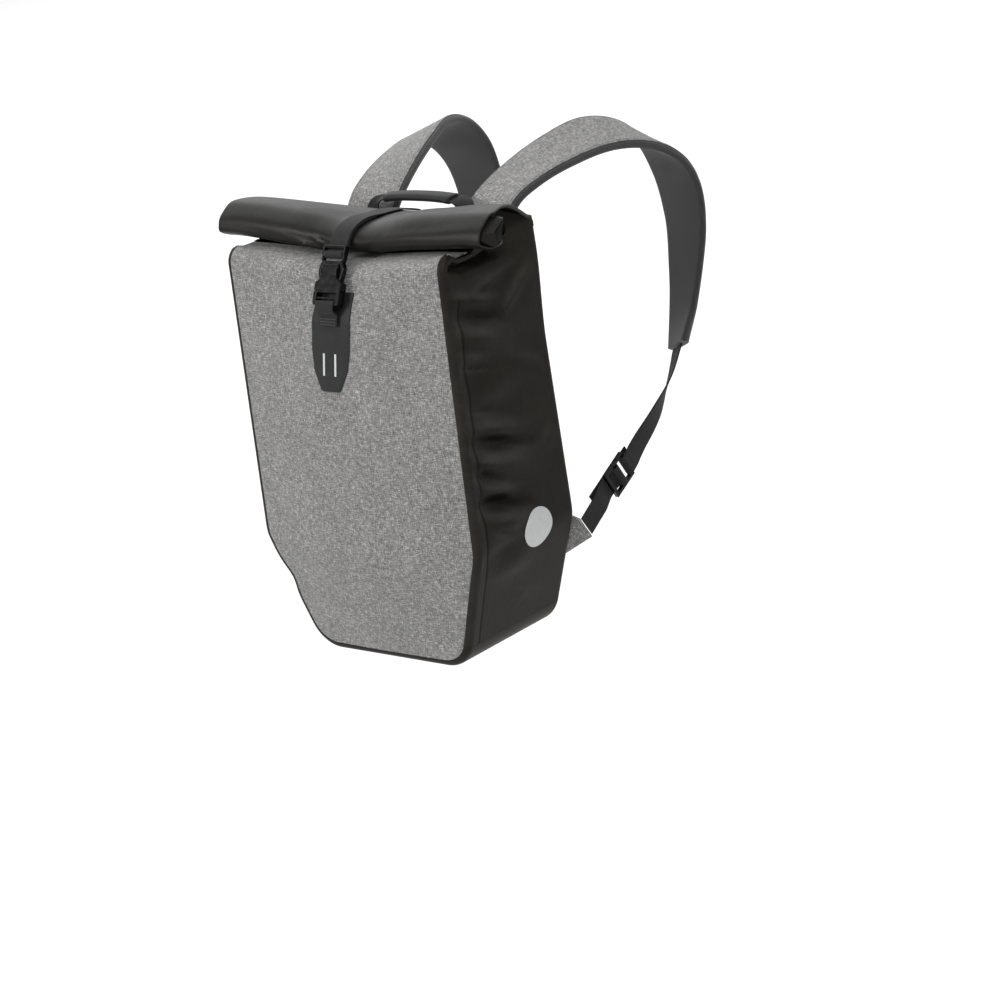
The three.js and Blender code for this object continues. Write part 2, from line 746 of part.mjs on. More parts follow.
// Where the wing is sewn on, and the middle of its outer edge
function wingPlaces(side) {
  const edge = (z) => {
    const at = [...cornerRows, ...sideRows].find((row) => row.z >= z);
    return at.x - at.nx * (backEdgeRadius + seamGap + 6);
  };
  const seat = restGap + wingThick / 2;
  const top = vec(edge(wingTopHeight), seat, wingTopHeight);
  const foot = vec(edge(wingFootHeight), seat, wingFootHeight);
  const tip = vec(bagHalfWidth - 2, seat + wingLength * 0.55, lerp(wingFootHeight, wingTopHeight, 0.62));
  return { top: mirrored(top, side), foot: mirrored(foot, side), tip: mirrored(tip, side) };
}

function webPath(side) {
  const pad = padPath(1);
  const start = pad[pad.length - 1].point;
  const end = wingPlaces(1).tip;
  const way = end.clone().sub(start);
  const length = way.length();
  return webRows.map((row) => ({
    point: mirrored(
      start.clone().addScaledVector(way, row.along).add(vec(row.out * length, 0, row.up * length)),
      side,
    ),
    across: mirrored(vec(row.wx, row.wy, row.wz), side),
  }));
}

// Places straight through a run of points, each with its own way across or one for all
function polyPlaces(points, across) {
  return points.map((middle, i) => {
    const [before, after] = [points[Math.max(i - 1, 0)], points[Math.min(i + 1, points.length - 1)]];
    return { middle, along: after.clone().sub(before).normalize(), across };
  });
}

// Webbing along places
function web(places, width = webWidth, thick = webThick, side = 1) {
  return band(
    places,
    () => [-1, 1].map((share) => ({ at: (share * width) / 2, high: thick / 2, low: -thick / 2 })),
    side,
  );
}

// Points of an arc round a bar, in a frame with u along and w outward; angles in degrees from u
function arc(at, u, w, radius, from, to, count = 8) {
  return steps(count).map((t) => {
    const angle = radians(lerp(from, to, t));
    return at(u + radius * Math.cos(angle), w + radius * Math.sin(angle));
  });
}

// The webbing's centre clears the corner of a square bar by the seam gap
const barRound = (bar, thick) => Math.hypot(bar, thick) / 2 + seamGap + webThick / 2;

// The adjuster's own frame on the webbing: u along it to the pad, w off its outer face
function lockFrame(side) {
  const path = webPath(1);
  const line = new THREE.CatmullRomCurve3(path.map((row) => row.point), false, "centripetal");
  const ways = new THREE.CatmullRomCurve3(path.map((row) => row.across), false, "centripetal");
  const share = 1 - lockShare;
  const up = line.getTangent(share).negate();
  const across = ways.getPoint(share);
  across.addScaledVector(up, -across.dot(up)).normalize();
  const out = up.clone().cross(across).normalize();
  if (out.x < 0) out.negate();
  const centre = line.getPoint(share);
  const at = (u, w) => mirrored(centre.clone().addScaledVector(up, u).addScaledVector(out, w), side);
  const length = line.getLength();
  const onLine = (t) => mirrored(line.getPoint(t), side);
  const wayAt = (t) => mirrored(ways.getPoint(t).normalize(), side);
  return { at, share, onLine, wayAt, up, across: mirrored(across, side), out, centre, length };
}

function ladderLock(side) {
  const { up, out, centre } = lockFrame(1);
  const rail = (lockWidth - webWidth) / 2 - fitGap;
  const bars = [-1, 0, 1].map((k) => box(lockWidth, lockBar, lockThick, 0, (k * (lockLength - lockBar)) / 2, 0));
  const rails = [-1, 1].map((k) => box(rail, lockLength, lockThick, (k * (lockWidth - rail)) / 2, 0, 0));
  const right = up.clone().cross(out);
  const turn = new THREE.Matrix4().makeBasis(right, up, out).setPosition(centre);
  const flip = new THREE.Matrix4().makeScale(side, 1, 1);
  const made = wasm.Manifold.union([...bars, ...rails]).transform(flip.multiply(turn).elements);
  return geometryOf(made);
}

const endGap = 1.9; // keeps the corners of two ends that meet at an angle apart
const lockRound = barRound(lockBar, lockThick);

// The long webbing: from the wing up to the adjuster, round its middle bar and back behind itself
function lowerWebbing(side) {
  const { at, share, onLine, wayAt, across, length } = lockFrame(side);
  const half = lockLength / 2;
  const reach = lockThick / 2 + seamGap + webThick / 2;
  const behind = reach + webThick + restGap;
  const leave = share + (half + lowerLead) / length;
  const free = steps(6).map((t) => lerp(1 - endGap / length, leave, t));
  const start = polyPlaces(free.map(onLine), across).map((place, i) => ({ ...place, across: wayAt(free[i]) }));
  const turn = [
    at(-half - 7, -reach * 0.75),
    at(-half - 1, -reach),
    at(-half + lockBar + 1, -reach),
    at(-lockRound - 2.4, -reach * 0.8),
    at(-lockRound - 0.5, -reach * 0.4),
    ...arc(at, 0, 0, lockRound, 180, -20, 10),
    at(lockRound * 0.86, -reach * 0.8),
    at(lockRound * 0.5, -behind * 0.86),
    at(-1, -behind),
    at(-10, -behind - 0.3),
    at(-half - 3, -behind - 0.3),
    at(lockRound - tailLength, -behind - 0.3),
  ];
  return web([...start, ...polyPlaces(turn, across)], webWidth, webThick, side);
}

// The short webbing from the pad's end, folded round the adjuster's upper bar
function upperWebbing(side) {
  const { at, share, onLine, wayAt, across, length } = lockFrame(side);
  const half = lockLength / 2;
  const bar = half - lockBar / 2;
  const reach = lockThick / 2 + seamGap + webThick / 2;
  const leave = share - (half + upperLead) / length;
  const free = steps(14).map((t) => lerp(endGap / length, leave, t));
  const start = polyPlaces(free.map(onLine), across).map((place, i) => ({ ...place, across: wayAt(free[i]) }));
  const turn = [
    at(half + 14, reach * 0.4),
    at(half + 6, reach * 0.9),
    at(half, reach + 0.3),
    ...arc(at, bar, 0, lockRound, 90, 270, 8),
    at(half, -reach - 0.5),
    at(half + tailFold - 4, -reach - 0.2),
  ];
  return web([...start, ...polyPlaces(turn, across)], webWidth, webThick, side);
}

// The wing: from the back panel's lower edge to the end of the webbing
function wing(side) {
  const { top, foot, tip } = wingPlaces(1);
  const path = webPath(1);
  const along = path[path.length - 1].point.clone().sub(path[path.length - 2].point).normalize();
  const seam = path[path.length - 1].across.clone();
  seam.addScaledVector(along, -seam.dot(along)).normalize();
  const [tipFoot, tipTop] = [-1, 1].map((k) => tip.clone().addScaledVector(seam, (k * (webWidth + 2)) / 2));
  const grid = steps(3).map((t) => {
    const [low, high] = [foot.clone().lerp(tipFoot, t), top.clone().lerp(tipTop, t)];
    return steps(2).map((s) => mirrored(low.clone().lerp(high, s), side));
  });
  return clothSheet(offsetGrid(grid, wingThick / 2), wingThick);
}

const front = frontPanel();
const rightSide = sideGusset(1);
const frontAt = (x, z, off = 0) => surfaceAt(front, vec(x, -outside, z), vec(0, 1, 0)).add(vec(0, -off, 0));

// The strap's line over the collar and the roll: turns of the roll from its top, riding over it
function overRoll(ride, from, to) {
  return collarShares()
    .filter((t) => t >= from - 1e-6 && t <= to + 1e-6)
    .map((t) => {
      const [y, z] = collarPoint(t, strapSide);
      const [y0, z0] = collarPoint(t - 0.004, strapSide);
      const [y1, z1] = collarPoint(t + 0.004, strapSide);
      const length = Math.hypot(y1 - y0, z1 - z0);
      const off = ride(t);
      return vec(strapSide, y + (off * (z1 - z0)) / length, z - (off * (y1 - y0)) / length);
    });
}

// The buckle's own frame: u up along it, w out away from the bag
function buckleFrame() {
  const tilt = radians(buckleTilt);
  const off = patchThick + patchGap + restGap + webThick + socketThick / 2 + 0.6;
  const centre = frontAt(strapSide, buckleFoot, off);
  const up = vec(0, Math.sin(tilt), Math.cos(tilt));
  const out = vec(0, -Math.cos(tilt), Math.sin(tilt));
  const at = (u, w) => centre.clone().addScaledVector(up, u).addScaledVector(out, w);
  return { at, centre, tilt };
}

const plugFoot = socketLength + fitGap;
const midBar = (plugFrame - barThick) / 2; // foot of the bar that the strap turns round

function placeBuckle(bodies, cuts = []) {
  const { centre, tilt } = buckleFrame();
  const whole = wasm.Manifold.union(bodies);
  const made = cuts.length ? whole.subtract(wasm.Manifold.union(cuts)) : whole;
  return geometryOf(made).rotateX(-tilt).translate(centre.x, centre.y, centre.z);
}

// Both halves are drawn upright, with the height along z and the outer face towards -y
const plate = (width, length, thick, x, z) => box(width, thick, length, x, 0, z + length / 2);

function buckleSocket() {
  const frame = 2 * barThick + socketSlot;
  const inside = socketBodyWidth - 2 * socketWall;
  const bodies = [
    plate(socketWidth, frame, socketFrameThick, 0, 0),
    plate(socketBodyWidth, socketLength - frame, socketThick, 0, frame),
    plate(socketWidth, 5, socketThick, 0, frame),
  ];
  const notchX = inside / 2 - armWidth - 2 * fitGap;
  const notches = [-1, 1].map((k) =>
    plate(socketWidth, notchLength, socketThick * 2, k * (notchX + socketWidth / 2), notchFoot),
  );
  const cuts = [
    plate(webWidth + 2 * fitGap, socketSlot, socketThick * 2, 0, barThick),
    plate(inside, socketLength, plugThick + 2 * fitGap, 0, frame + socketFloor),
    ...notches,
  ];
  return placeBuckle(bodies, cuts);
}

function bucklePlug() {
  const armX = socketBodyWidth / 2 - socketWall - fitGap - armWidth / 2;
  const rails = [-1, 1].map((k) =>
    plate(railWidth, plugFrame, plugThick, (k * (plugWidth - railWidth)) / 2, plugFoot),
  );
  const bars = [0, midBar, plugFrame - barThick].map((z) =>
    plate(plugWidth, barThick, z ? barThick : plugThick, 0, plugFoot + z),
  );
  const armLength = plugFoot - armFoot + 1;
  const arms = [-1, 1].map((k) => plate(armWidth, armLength, plugThick, k * armX, armFoot));
  const bulges = [-1, 1].map((k) =>
    plate(armWidth + bulge, notchLength - 2 * fitGap, plugThick, k * (armX + bulge / 2), notchFoot + fitGap),
  );
  const tongue = plate(tongueWidth, armLength - 3, plugThick, 0, armFoot + 3);
  return placeBuckle([...rails, ...bars, ...arms, ...bulges, tongue]);
}

const rideLow = restGap + 0.35 + webThick / 2;
const rideHigh = rideLow + webThick + restGap;
const leaveTurns = 0.16; // the strap leaves the roll at this part of a turn past its top
const tailTurns = 0.06;

// The strap: over the roll, behind the plug's top bar, round its middle bar and back under itself
function closureStrap() {
  const { at } = buckleFrame();
  const shareOf = (turns) => slopeShare + (turns / rollTurns) * (1 - slopeShare);
  const ride = (t) => lerp(rideLow, rideHigh, smooth(slopeShare - 0.05, shareOf(0), t));
  const bar = plugFoot + midBar + barThick / 2;
  const round = barRound(barThick, barThick);
  const top = plugFoot + plugFrame;
  const back = barThick / 2 + seamGap + webThick / 2 + 0.6;
  const under = back + rideHigh - rideLow;
  const points = [
    ...overRoll(ride, 0.07, shareOf(leaveTurns)),
    at(top + 3, -back),
    at(top - barThick, -back),
    at(bar + round + 1.2, -back * 0.6),
    ...arc(at, bar, 0, round, 0, 180, 8),
    at(bar - round * 0.9, -back * 0.7),
    at(bar - 0.6, -under * 0.93),
    at(bar + 3, -under - 0.2),
    at(top - 3, -under - 0.2),
    at(top + 3, -under),
    ...overRoll(() => rideLow, shareOf(-tailTurns), shareOf(leaveTurns)).reverse(),
  ];
  return web(polyPlaces(points, vec(1, 0, 0)));
}

// The loop that holds the socket: both ends are sewn to the patch
function buckleLoop() {
  const { at } = buckleFrame();
  const off = patchThick + patchGap + seamGap + webThick / 2;
  const layer = webThick + restGap;
  const round = socketFrameThick / 2 + seamGap + webThick / 2;
  const low = (z, more) => frontAt(strapSide, z, off + more);
  const points = [
    low(loopFoot, layer),
    low(loopFoot + 6, layer),
    low(loopFoot + 11, layer + 0.6),
    at(-5, round * 0.8),
    at(-1, round),
    at(barThick + 0.2, round),
    at(barThick + 1, round * 0.7),
    at(barThick + 1.4, 0),
    at(barThick + 1, -round * 0.7),
    at(barThick + 0.2, -round),
    at(-1, -round),
  ];
  return web(polyPlaces(points, vec(1, 0, 0)));
}

const patchMiddle = (z) => lerp(patchFootSide, patchTopSide, (z - patchFoot) / (patchTop - patchFoot));

// The patch on the front panel: rows of height and half width
function strapPatch() {
  const upper = steps(11).map((share) => {
    const wide = lerp(patchTaperHalf, patchWideHalf, smooth(0, 0.3, share));
    return [lerp(patchTaper, patchTop, share), lerp(wide, patchTopHalf, smooth(0.6, 1, share))];
  });
  const lower = [0, 0.5].map((share) => [
    lerp(patchFoot, patchTaper, share),
    lerp(patchFootHalf, patchTaperHalf, share),
  ]);
  const rows = [...lower, ...upper].map(([z, half]) =>
    steps(4).map((t) => frontAt(patchMiddle(z) + lerp(-half, half, t), z, patchGap + patchThick)),
  );
  return clothSheet(rows, patchThick);
}

function patchStripe(side) {
  const off = patchGap + restGap + patchThick + stripeThick;
  const rows = steps(4).map((t) => {
    const z = stripeFoot + t * stripeLength;
    const middle = patchMiddle(z) + side * stripeSpread;
    return [-1, 1].map((k) => frontAt(middle + (k * stripeWidth) / 2, z, off));
  });
  return clothSheet(rows, stripeThick);
}

// The handle's arch: out is a share of its half span, up a share of its rise over the back
const handleShape = [
  { out: 1.0, up: -0.92, lean: 0, wx: 1, wy: 0, wz: 0 },
  { out: 1.0, up: -0.3, lean: 0, wx: 1, wy: 0, wz: 0 },
  { out: 0.99, up: 0.1, lean: 0.02, wx: 1, wy: 0.02, wz: 0.1 },
  { out: 0.94, up: 0.5, lean: 0.6, wx: 0.95, wy: 0.12, wz: 0.3 },
  { out: 0.78, up: 0.84, lean: 1, wx: 0.35, wy: 0.95, wz: 0.2 },
  { out: 0.55, up: 0.95, lean: 1, wx: 0.05, wy: 1, wz: 0 },
  { out: 0.28, up: 1.0, lean: 1, wx: 0, wy: 1, wz: 0 },
  { out: 0, up: 1.01, lean: 1, wx: 0, wy: 1, wz: 0 },
];

function handlePlaces() {
  const seat = restGap + webThick / 2;
  const row = (shape, side) => ({
    point: vec(side * shape.out * handleHalfSpan, seat + shape.lean * handleLean, backHeight + shape.up * handleRise),
    across: mirrored(vec(shape.wx, shape.wy, shape.wz), side),
  });
  const right = handleShape.map((shape) => row(shape, 1));
  const left = handleShape.slice(0, -1).reverse().map((shape) => row(shape, -1));
  return placesAlong([...right, ...left], 28, () => ({}));
}

function carryHandle() {
  return web(handlePlaces(), handleWidth);
}

// The grip: a padded sleeve round the middle of the handle, open at both ends
function handleGrip() {
  const places = handlePlaces().filter(({ middle }) => Math.abs(middle.x) < gripHalf);
  const ring = (place, wide, tall) => {
    const up = place.across.clone().cross(place.along).normalize();
    return steps(8)
      .slice(1)
      .map((t) => {
        const angle = t * 2 * Math.PI;
        const [a, b] = [Math.cos(angle), Math.sin(angle)];
        const bulk = Math.max(Math.abs(a), Math.abs(b)) ** 0.35;
        return place.middle
          .clone()
          .addScaledVector(place.across, (a * wide) / bulk)
          .addScaledVector(up, (b * tall) / bulk);
      });
  };
  const last = places.length - 1;
  const outer = places.map((place, i) => {
    const end = i === 0 || i === last ? 0.86 : 1;
    return ring(place, (gripWidth / 2) * end, (gripThick / 2) * end);
  });
  const holeWide = handleWidth / 2 + fitGap;
  const holeTall = webThick / 2 + 2 * fitGap;
  const inner = places.map((place) => {
    const up = place.across.clone().cross(place.along).normalize();
    return [[1, 1], [-1, 1], [-1, -1], [1, -1]].map(([a, b]) =>
      place.middle.clone().addScaledVector(place.across, a * holeWide).addScaledVector(up, b * holeTall),
    );
  });
  const stretch = (ringPoints, from, to) =>
    ringPoints.map((p) => p.clone().addScaledVector(to.middle.clone().sub(from.middle), 0.5));
  inner[0] = stretch(inner[0], places[1], places[0]);
  inner[last] = stretch(inner[last], places[last - 1], places[last]);
  return geometryOf(solid(loft(outer)).subtract(solid(loft(inner))));
}

// The reflective disc follows the side wall
function sideDisc() {
  const grid = steps(6).map((a) =>
    steps(6).map((b) => {
      const [u, v] = [2 * a - 1, 2 * b - 1];
      const y = -discAhead + discRadius * v * Math.sqrt(1 - (u * u) / 2);
      const z = discHeight + discRadius * u * Math.sqrt(1 - (v * v) / 2);
      return surfaceAt(rightSide, vec(outside, y, z), vec(-1, 0, 0)).add(vec(restGap + discThick, 0, 0));
    }),
  );
  return clothSheet(grid, discThick);
}

const part = new THREE.Group();

function add(name, geometry, look, parent = part) {
  const made = new THREE.Mesh(geometry, look);
  made.name = name;
  parent.add(made);
  return made;
}

add("front_panel", front, heather);
add("side_gusset_right", rightSide, tarpaulin);
add("side_gusset_left", sideGusset(-1), tarpaulin);
add("base_panel", basePanel(), tarpaulin);
add("back_panel", backPanel(), tarpaulin);
add("roll_top", rollTop(), tarpaulin);
add("closure_strap", closureStrap(), webbing);
add("buckle_plug", bucklePlug(), plastic);
add("buckle_socket", buckleSocket(), plastic);
add("buckle_loop", buckleLoop(), webbing);
add("strap_patch", strapPatch(), rubberised);
add("carry_handle", carryHandle(), webbing);
add("handle_grip", handleGrip(), rubberised);
add("side_disc", sideDisc(), reflective);
for (const [name, side] of [["right", 1], ["left", -1]]) {
  add(`patch_stripe_${name}`, patchStripe(side), reflective);
  add(`shoulder_pad_${name}`, shoulderPad(side), mesh3d);
  add(`shoulder_cover_${name}`, shoulderCover(side), heather);
  add(`pad_webbing_${name}`, upperWebbing(side), webbing);
  add(`ladder_lock_${name}`, ladderLock(side), plastic);
  add(`strap_webbing_${name}`, lowerWebbing(side), webbing);
  add(`wing_${name}`, wing(side), heather);
}

part.position.z = -originHeight;

export default part;
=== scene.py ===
import math

import bpy
import numpy as np
from mathutils import Matrix, Vector


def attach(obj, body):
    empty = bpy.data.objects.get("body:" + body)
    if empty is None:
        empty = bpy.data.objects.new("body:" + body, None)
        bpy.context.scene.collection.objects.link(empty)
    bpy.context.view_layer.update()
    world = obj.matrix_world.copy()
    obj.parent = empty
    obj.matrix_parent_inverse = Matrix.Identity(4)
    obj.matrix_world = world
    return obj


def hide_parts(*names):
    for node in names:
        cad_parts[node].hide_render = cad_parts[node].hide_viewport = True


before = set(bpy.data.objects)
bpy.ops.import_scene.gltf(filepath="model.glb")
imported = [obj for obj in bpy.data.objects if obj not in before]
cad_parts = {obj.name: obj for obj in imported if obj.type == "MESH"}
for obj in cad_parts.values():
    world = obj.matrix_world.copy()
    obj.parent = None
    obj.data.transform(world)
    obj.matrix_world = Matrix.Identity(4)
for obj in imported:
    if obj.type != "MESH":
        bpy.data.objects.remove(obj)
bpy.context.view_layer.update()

# Named values of the solids, in millimetres; heights are counted from the ground under the bag
GROUND = 400

# The bag's shell
BAG_HALF_WIDTH = 152
TOP_FLARE = 6
FOOT_HALF_WIDTH = 103
FOOT_RADIUS = 40
TAPER_HEIGHT = 125
TAPER_RADIUS = 45
FOOT_DEPTH = 147
BAG_DEPTH = 153
TOP_DEPTH = 138
FRONT_HEIGHT = 410
FRONT_BEND = 17
FRONT_LIP = 24
BACK_RISE = 18
BACK_HEIGHT = FRONT_HEIGHT + BACK_RISE
FRONT_CROWN = 19
FRONT_EDGE_RADIUS = 7
BACK_EDGE_RADIUS = 8
CLOTH = 1.6
BACK_CLOTH = 2.4
SEAM_GAP = 0.3
PANEL_GAP = 0.85
REST_GAP = 0.45

# The collar and its roll
COLLAR_STAND = 4
COLLAR_FOLD = 10
ROLL_AHEAD = 92
ROLL_DEPTH = 62
ROLL_TALL = 38
ROLL_TURNS = 2.4
ROLL_PITCH = 6.8
ROLL_CLOTH = 2.2
ROLL_SAG = 9
ROLL_SAG_HALF = 66
ROLL_SQUEEZE = 0.14
ROLL_PULL = 6

# Closure strap, buckle and patch
WEB_WIDTH = 25
WEB_THICK = 1.6
STRAP_SIDE = 1
STRAP_PULL = 15
STRAP_PULL_HALF = 52
STRAP_PULL_FOOT = 366
STRAP_PULL_TOP = 420
BUCKLE_TILT = 26
BUCKLE_FOOT = 381
PLUG_THICK = 6
PLUG_FRAME = 19
SOCKET_WIDTH = 36
SOCKET_THICK = 9.5
SOCKET_FRAME_THICK = 7.6
SOCKET_LENGTH = 42
BAR_THICK = 3
FIT_GAP = 0.4
LOOP_FOOT = 361
PATCH_TOP_SIDE = 3
PATCH_FOOT_SIDE = -6
PATCH_GAP = 0.75
PATCH_TOP = 392
PATCH_FOOT = 294
PATCH_TAPER = 316
PATCH_TOP_HALF = 24
PATCH_WIDE_HALF = 26
PATCH_TAPER_HALF = 23.5
PATCH_FOOT_HALF = 13
PATCH_THICK = 1.2
STRIPE_LENGTH = 22.5
STRIPE_WIDTH = 2.4
STRIPE_THICK = 0.6
STRIPE_SPREAD = 8
STRIPE_FOOT = 310

# Handle and shoulder straps
HANDLE_HALF_SPAN = 70
HANDLE_RISE = 24
HANDLE_LEAN = 5
HANDLE_WIDTH = 18
GRIP_HALF = 46
GRIP_WIDTH = 21
GRIP_THICK = 9
PAD_WIDTH = 68
PAD_END_WIDTH = 44
PAD_THICK = 8
COVER_THICK = 1.5
COVER_MARGIN = 3.5
STRAP_ROOT_SIDE = 80
STRAP_SHOULDER_SIDE = 142
STRAP_REACH = 246
STRAP_RISE = 53
PAD_END_HEIGHT = 240
WING_TOP_HEIGHT = 121
WING_FOOT_HEIGHT = 72
WING_THICK = 2.6
WING_LENGTH = 20
LOCK_LENGTH = 34
LOCK_THICK = 4.4
LOCK_BAR = 4
LOCK_SHARE = 0.262
TAIL_LENGTH = 46
TAIL_FOLD = 15
UPPER_LEAD = 24
LOWER_LEAD = 16
END_GAP = 1.9

# The disc on the right side
DISC_RADIUS = 21
DISC_AHEAD = 59
DISC_HEIGHT = 129
DISC_THICK = 0.6

# The bag's two sides, as the wearer has them
SIDES = ((1, "right"), (-1, "left"))

# Soft dents: height, ahead, half height, half depth as shares, and millimetres inward
SIDE_DENTS = [
    (0.765, 0.72, 0.03, 0.2, 3.4),
    (0.7, 0.66, 0.03, 0.24, -2.6),
    (0.6, 0.8, 0.026, 0.14, 1.6),
    (0.425, 0.74, 0.03, 0.2, 4.2),
    (0.365, 0.66, 0.03, 0.26, -2.6),
    (0.3, 0.7, 0.024, 0.18, 3.6),
    (0.245, 0.64, 0.026, 0.2, -2.0),
    (0.86, 0.55, 0.09, 0.3, -4.5),
]
# The same for the front panel: side, height, half width, half height, inward
FRONT_DENTS = [
    (-0.62, 0.94, 0.16, 0.05, 3.5),
    (0.7, 0.5, 0.18, 0.03, 2.6),
    (0.62, 0.56, 0.24, 0.035, -1.6),
    (-0.8, 0.44, 0.1, 0.12, 2.4),
    (-0.86, 0.22, 0.12, 0.06, 3),
]
# The left foot's outline steps in: height, half height, millimetres
LEFT_DIP = (76, 15, 6)
# Shoulder pad: out, ahead and up as shares, then the way from its inner to its outer edge
PAD_ROWS = [
    (0.0, 0.0, 0.573, 1, 0, 0),
    (0.0, 0.0, 0.664, 1, 0, 0),
    (0.01, 0.008, 0.763, 1, -0.04, 0),
    (0.06, 0.078, 0.846, 1, -0.12, -0.02),
    (0.19, 0.215, 0.917, 1, -0.24, -0.14),
    (0.39, 0.41, 0.975, 1, -0.32, -0.3),
    (0.61, 0.6, 1.0, 1, -0.26, -0.4),
    (0.81, 0.765, 0.955, 1, -0.2, -0.36),
    (0.94, 0.89, 0.855, 1, -0.2, -0.2),
    (1.0, 0.963, 0.714, 1, -0.16, 0),
    (1.0, 0.985, 0.519, 1, -0.16, 0),
    (0.97, 0.955, 0.324, 1, -0.2, 0.06),
    (0.99, 0.89, 0.145, 1, -0.32, 0.14),
    (1.07, 0.795, 0.0, 1, -0.52, 0.4),
]
# Webbing below the pad: along, out and up as shares, then the way across
WEB_ROWS = [
    (0.0, 0, 0, 1, -0.52, 0.4),
    (0.14, 0.02, -0.034, 0.8, -0.5, 0.6),
    (0.3, 0.03, -0.05, 0.3, -0.5, 0.8),
    (0.5, 0.02, -0.046, 0.06, -0.5, 0.85),
    (0.76, 0.006, -0.021, 0, -0.5, 0.83),
    (1.0, 0, 0, 0, -0.6, 0.78),
]
# The handle's arch: out, up and lean as shares, then the way across
HANDLE_ROWS = [
    (1.0, -0.92, 0, 1, 0, 0),
    (1.0, -0.3, 0, 1, 0, 0),
    (0.99, 0.1, 0.02, 1, 0.02, 0.1),
    (0.94, 0.5, 0.6, 0.95, 0.12, 0.3),
    (0.78, 0.84, 1, 0.35, 0.95, 0.2),
    (0.55, 0.95, 1, 0.05, 1, 0),
    (0.28, 1.0, 1, 0, 1, 0),
    (0, 1.01, 1, 0, 1, 0),
]


# Helpers for numbers
def lerp(a, b, t):
    return a + (b - a) * t


def smooth(low, high, value):
    t = np.clip((np.asarray(value, float) - low) / (high - low), 0, 1)
    return t * t * (3 - 2 * t)


def bell(x):
    return np.exp(-np.square(x))


def unit(v):
    v = np.asarray(v, float)
    return v / np.maximum(np.linalg.norm(v, axis=-1, keepdims=True), 1e-12)


def metres(points):
    placed = np.array(points, float) / 1000
    placed[..., 2] -= GROUND / 1000
    return placed


# A smooth line through points, as the solids use it: t runs evenly over the points
def spline(points, t):
    points = np.asarray(points, float)
    last = len(points) - 1
    padded = np.vstack([2 * points[0] - points[1], points, 2 * points[-1] - points[-2]])
    t = np.clip(np.asarray(t, float), 0, 1) * last
    at = np.minimum(t.astype(int), last - 1)
    w = (t - at)[:, None]
    p0, p1, p2, p3 = (padded[at + k] for k in range(4))
    pairs = ((p0, p1), (p1, p2), (p2, p3))
    gap = [np.sum((b - a) ** 2, axis=1, keepdims=True) ** 0.25 for a, b in pairs]
    g1 = np.where(gap[1] < 1e-4, 1.0, gap[1])
    g0 = np.where(gap[0] < 1e-4, g1, gap[0])
    g2 = np.where(gap[2] < 1e-4, g1, gap[2])
    start = ((p1 - p0) / g0 - (p2 - p0) / (g0 + g1) + (p2 - p1) / g1) * g1
    end = ((p2 - p1) / g1 - (p3 - p1) / (g1 + g2) + (p3 - p2) / g2) * g1
    c2 = -3 * p1 + 3 * p2 - 2 * start - end
    c3 = 2 * p1 - 2 * p2 + start + end
    return p1 + start * w + c2 * w * w + c3 * w**3


def tangents(line):
    return unit(np.gradient(line, axis=0))


def run_length(line):
    steps = np.linalg.norm(np.diff(line, axis=0), axis=1)
    return np.concatenate([[0], np.cumsum(steps)])


def places_at(want, run, line):
    return np.stack([np.interp(want, run, line[:, k]) for k in range(3)], axis=-1)


# A smooth line through points, with places a fixed distance apart, and the ways across it there
def even_line(points, pitch, ways=None):
    shares = np.linspace(0, 1, 40 * len(points))
    fine = spline(points, shares)
    run = run_length(fine)
    count = max(int(round(run[-1] / pitch)), 2)
    want = np.linspace(0, run[-1], count + 1)
    line = places_at(want, run, fine)
    return line if ways is None else (line, places_at(want, run, spline(ways, shares)))


# At each place of a line: the way across it that is nearest the wanted one, and the way up
def across_and_up(line, wanted):
    along = tangents(line)
    way = unit(wanted - along * np.sum(wanted * along, axis=1, keepdims=True))
    return way, unit(np.cross(way, along))


# Helpers for meshes
def make_object(name, points, faces, uv=None, sharp=50):
    mesh = bpy.data.meshes.new(name)
    mesh.from_pydata([tuple(p) for p in metres(points)], [], [tuple(f) for f in faces])
    mesh.polygons.foreach_set("use_smooth", [True] * len(mesh.polygons))
    if uv is not None:
        loops = np.empty(len(mesh.loops), dtype=np.int64)
        mesh.loops.foreach_get("vertex_index", loops)
        layer = mesh.uv_layers.new(name="UVMap")
        layer.data.foreach_set("uv", (np.asarray(uv, float)[loops] / 1000).ravel())
    mesh.update()
    mesh.set_sharp_from_angle(angle=math.radians(sharp))
    made = bpy.data.objects.new(name, mesh)
    bpy.context.scene.collection.objects.link(made)
    return made


def grid_faces(rows, cols, start=0, flip=False, wrap=False):
    i, j = np.meshgrid(np.arange(rows - 1), np.arange(cols if wrap else cols - 1), indexing="ij")
    a = start + i * cols + j
    b = start + i * cols + (j + 1) % cols
    quads = np.stack([a, b, b + cols, a + cols], axis=-1).reshape(-1, 4)
    return quads[:, ::-1] if flip else quads


def grid_normals(grid):
    across = np.gradient(grid, axis=1)
    along = np.gradient(grid, axis=0)
    return unit(np.cross(across, along))


# Lengths along the rows and columns of a grid, which place the weave at its real size
def grid_uv(grid):
    middle = grid[:, grid.shape[1] // 2]
    v = run_length(middle)
    steps = np.linalg.norm(np.diff(grid, axis=1), axis=2)
    u = np.concatenate([np.zeros((grid.shape[0], 1)), np.cumsum(steps, axis=1)], axis=1)
    u -= u[:, grid.shape[1] // 2][:, None]
    return np.stack([u, np.repeat(v[:, None], grid.shape[1], axis=1)], axis=-1)


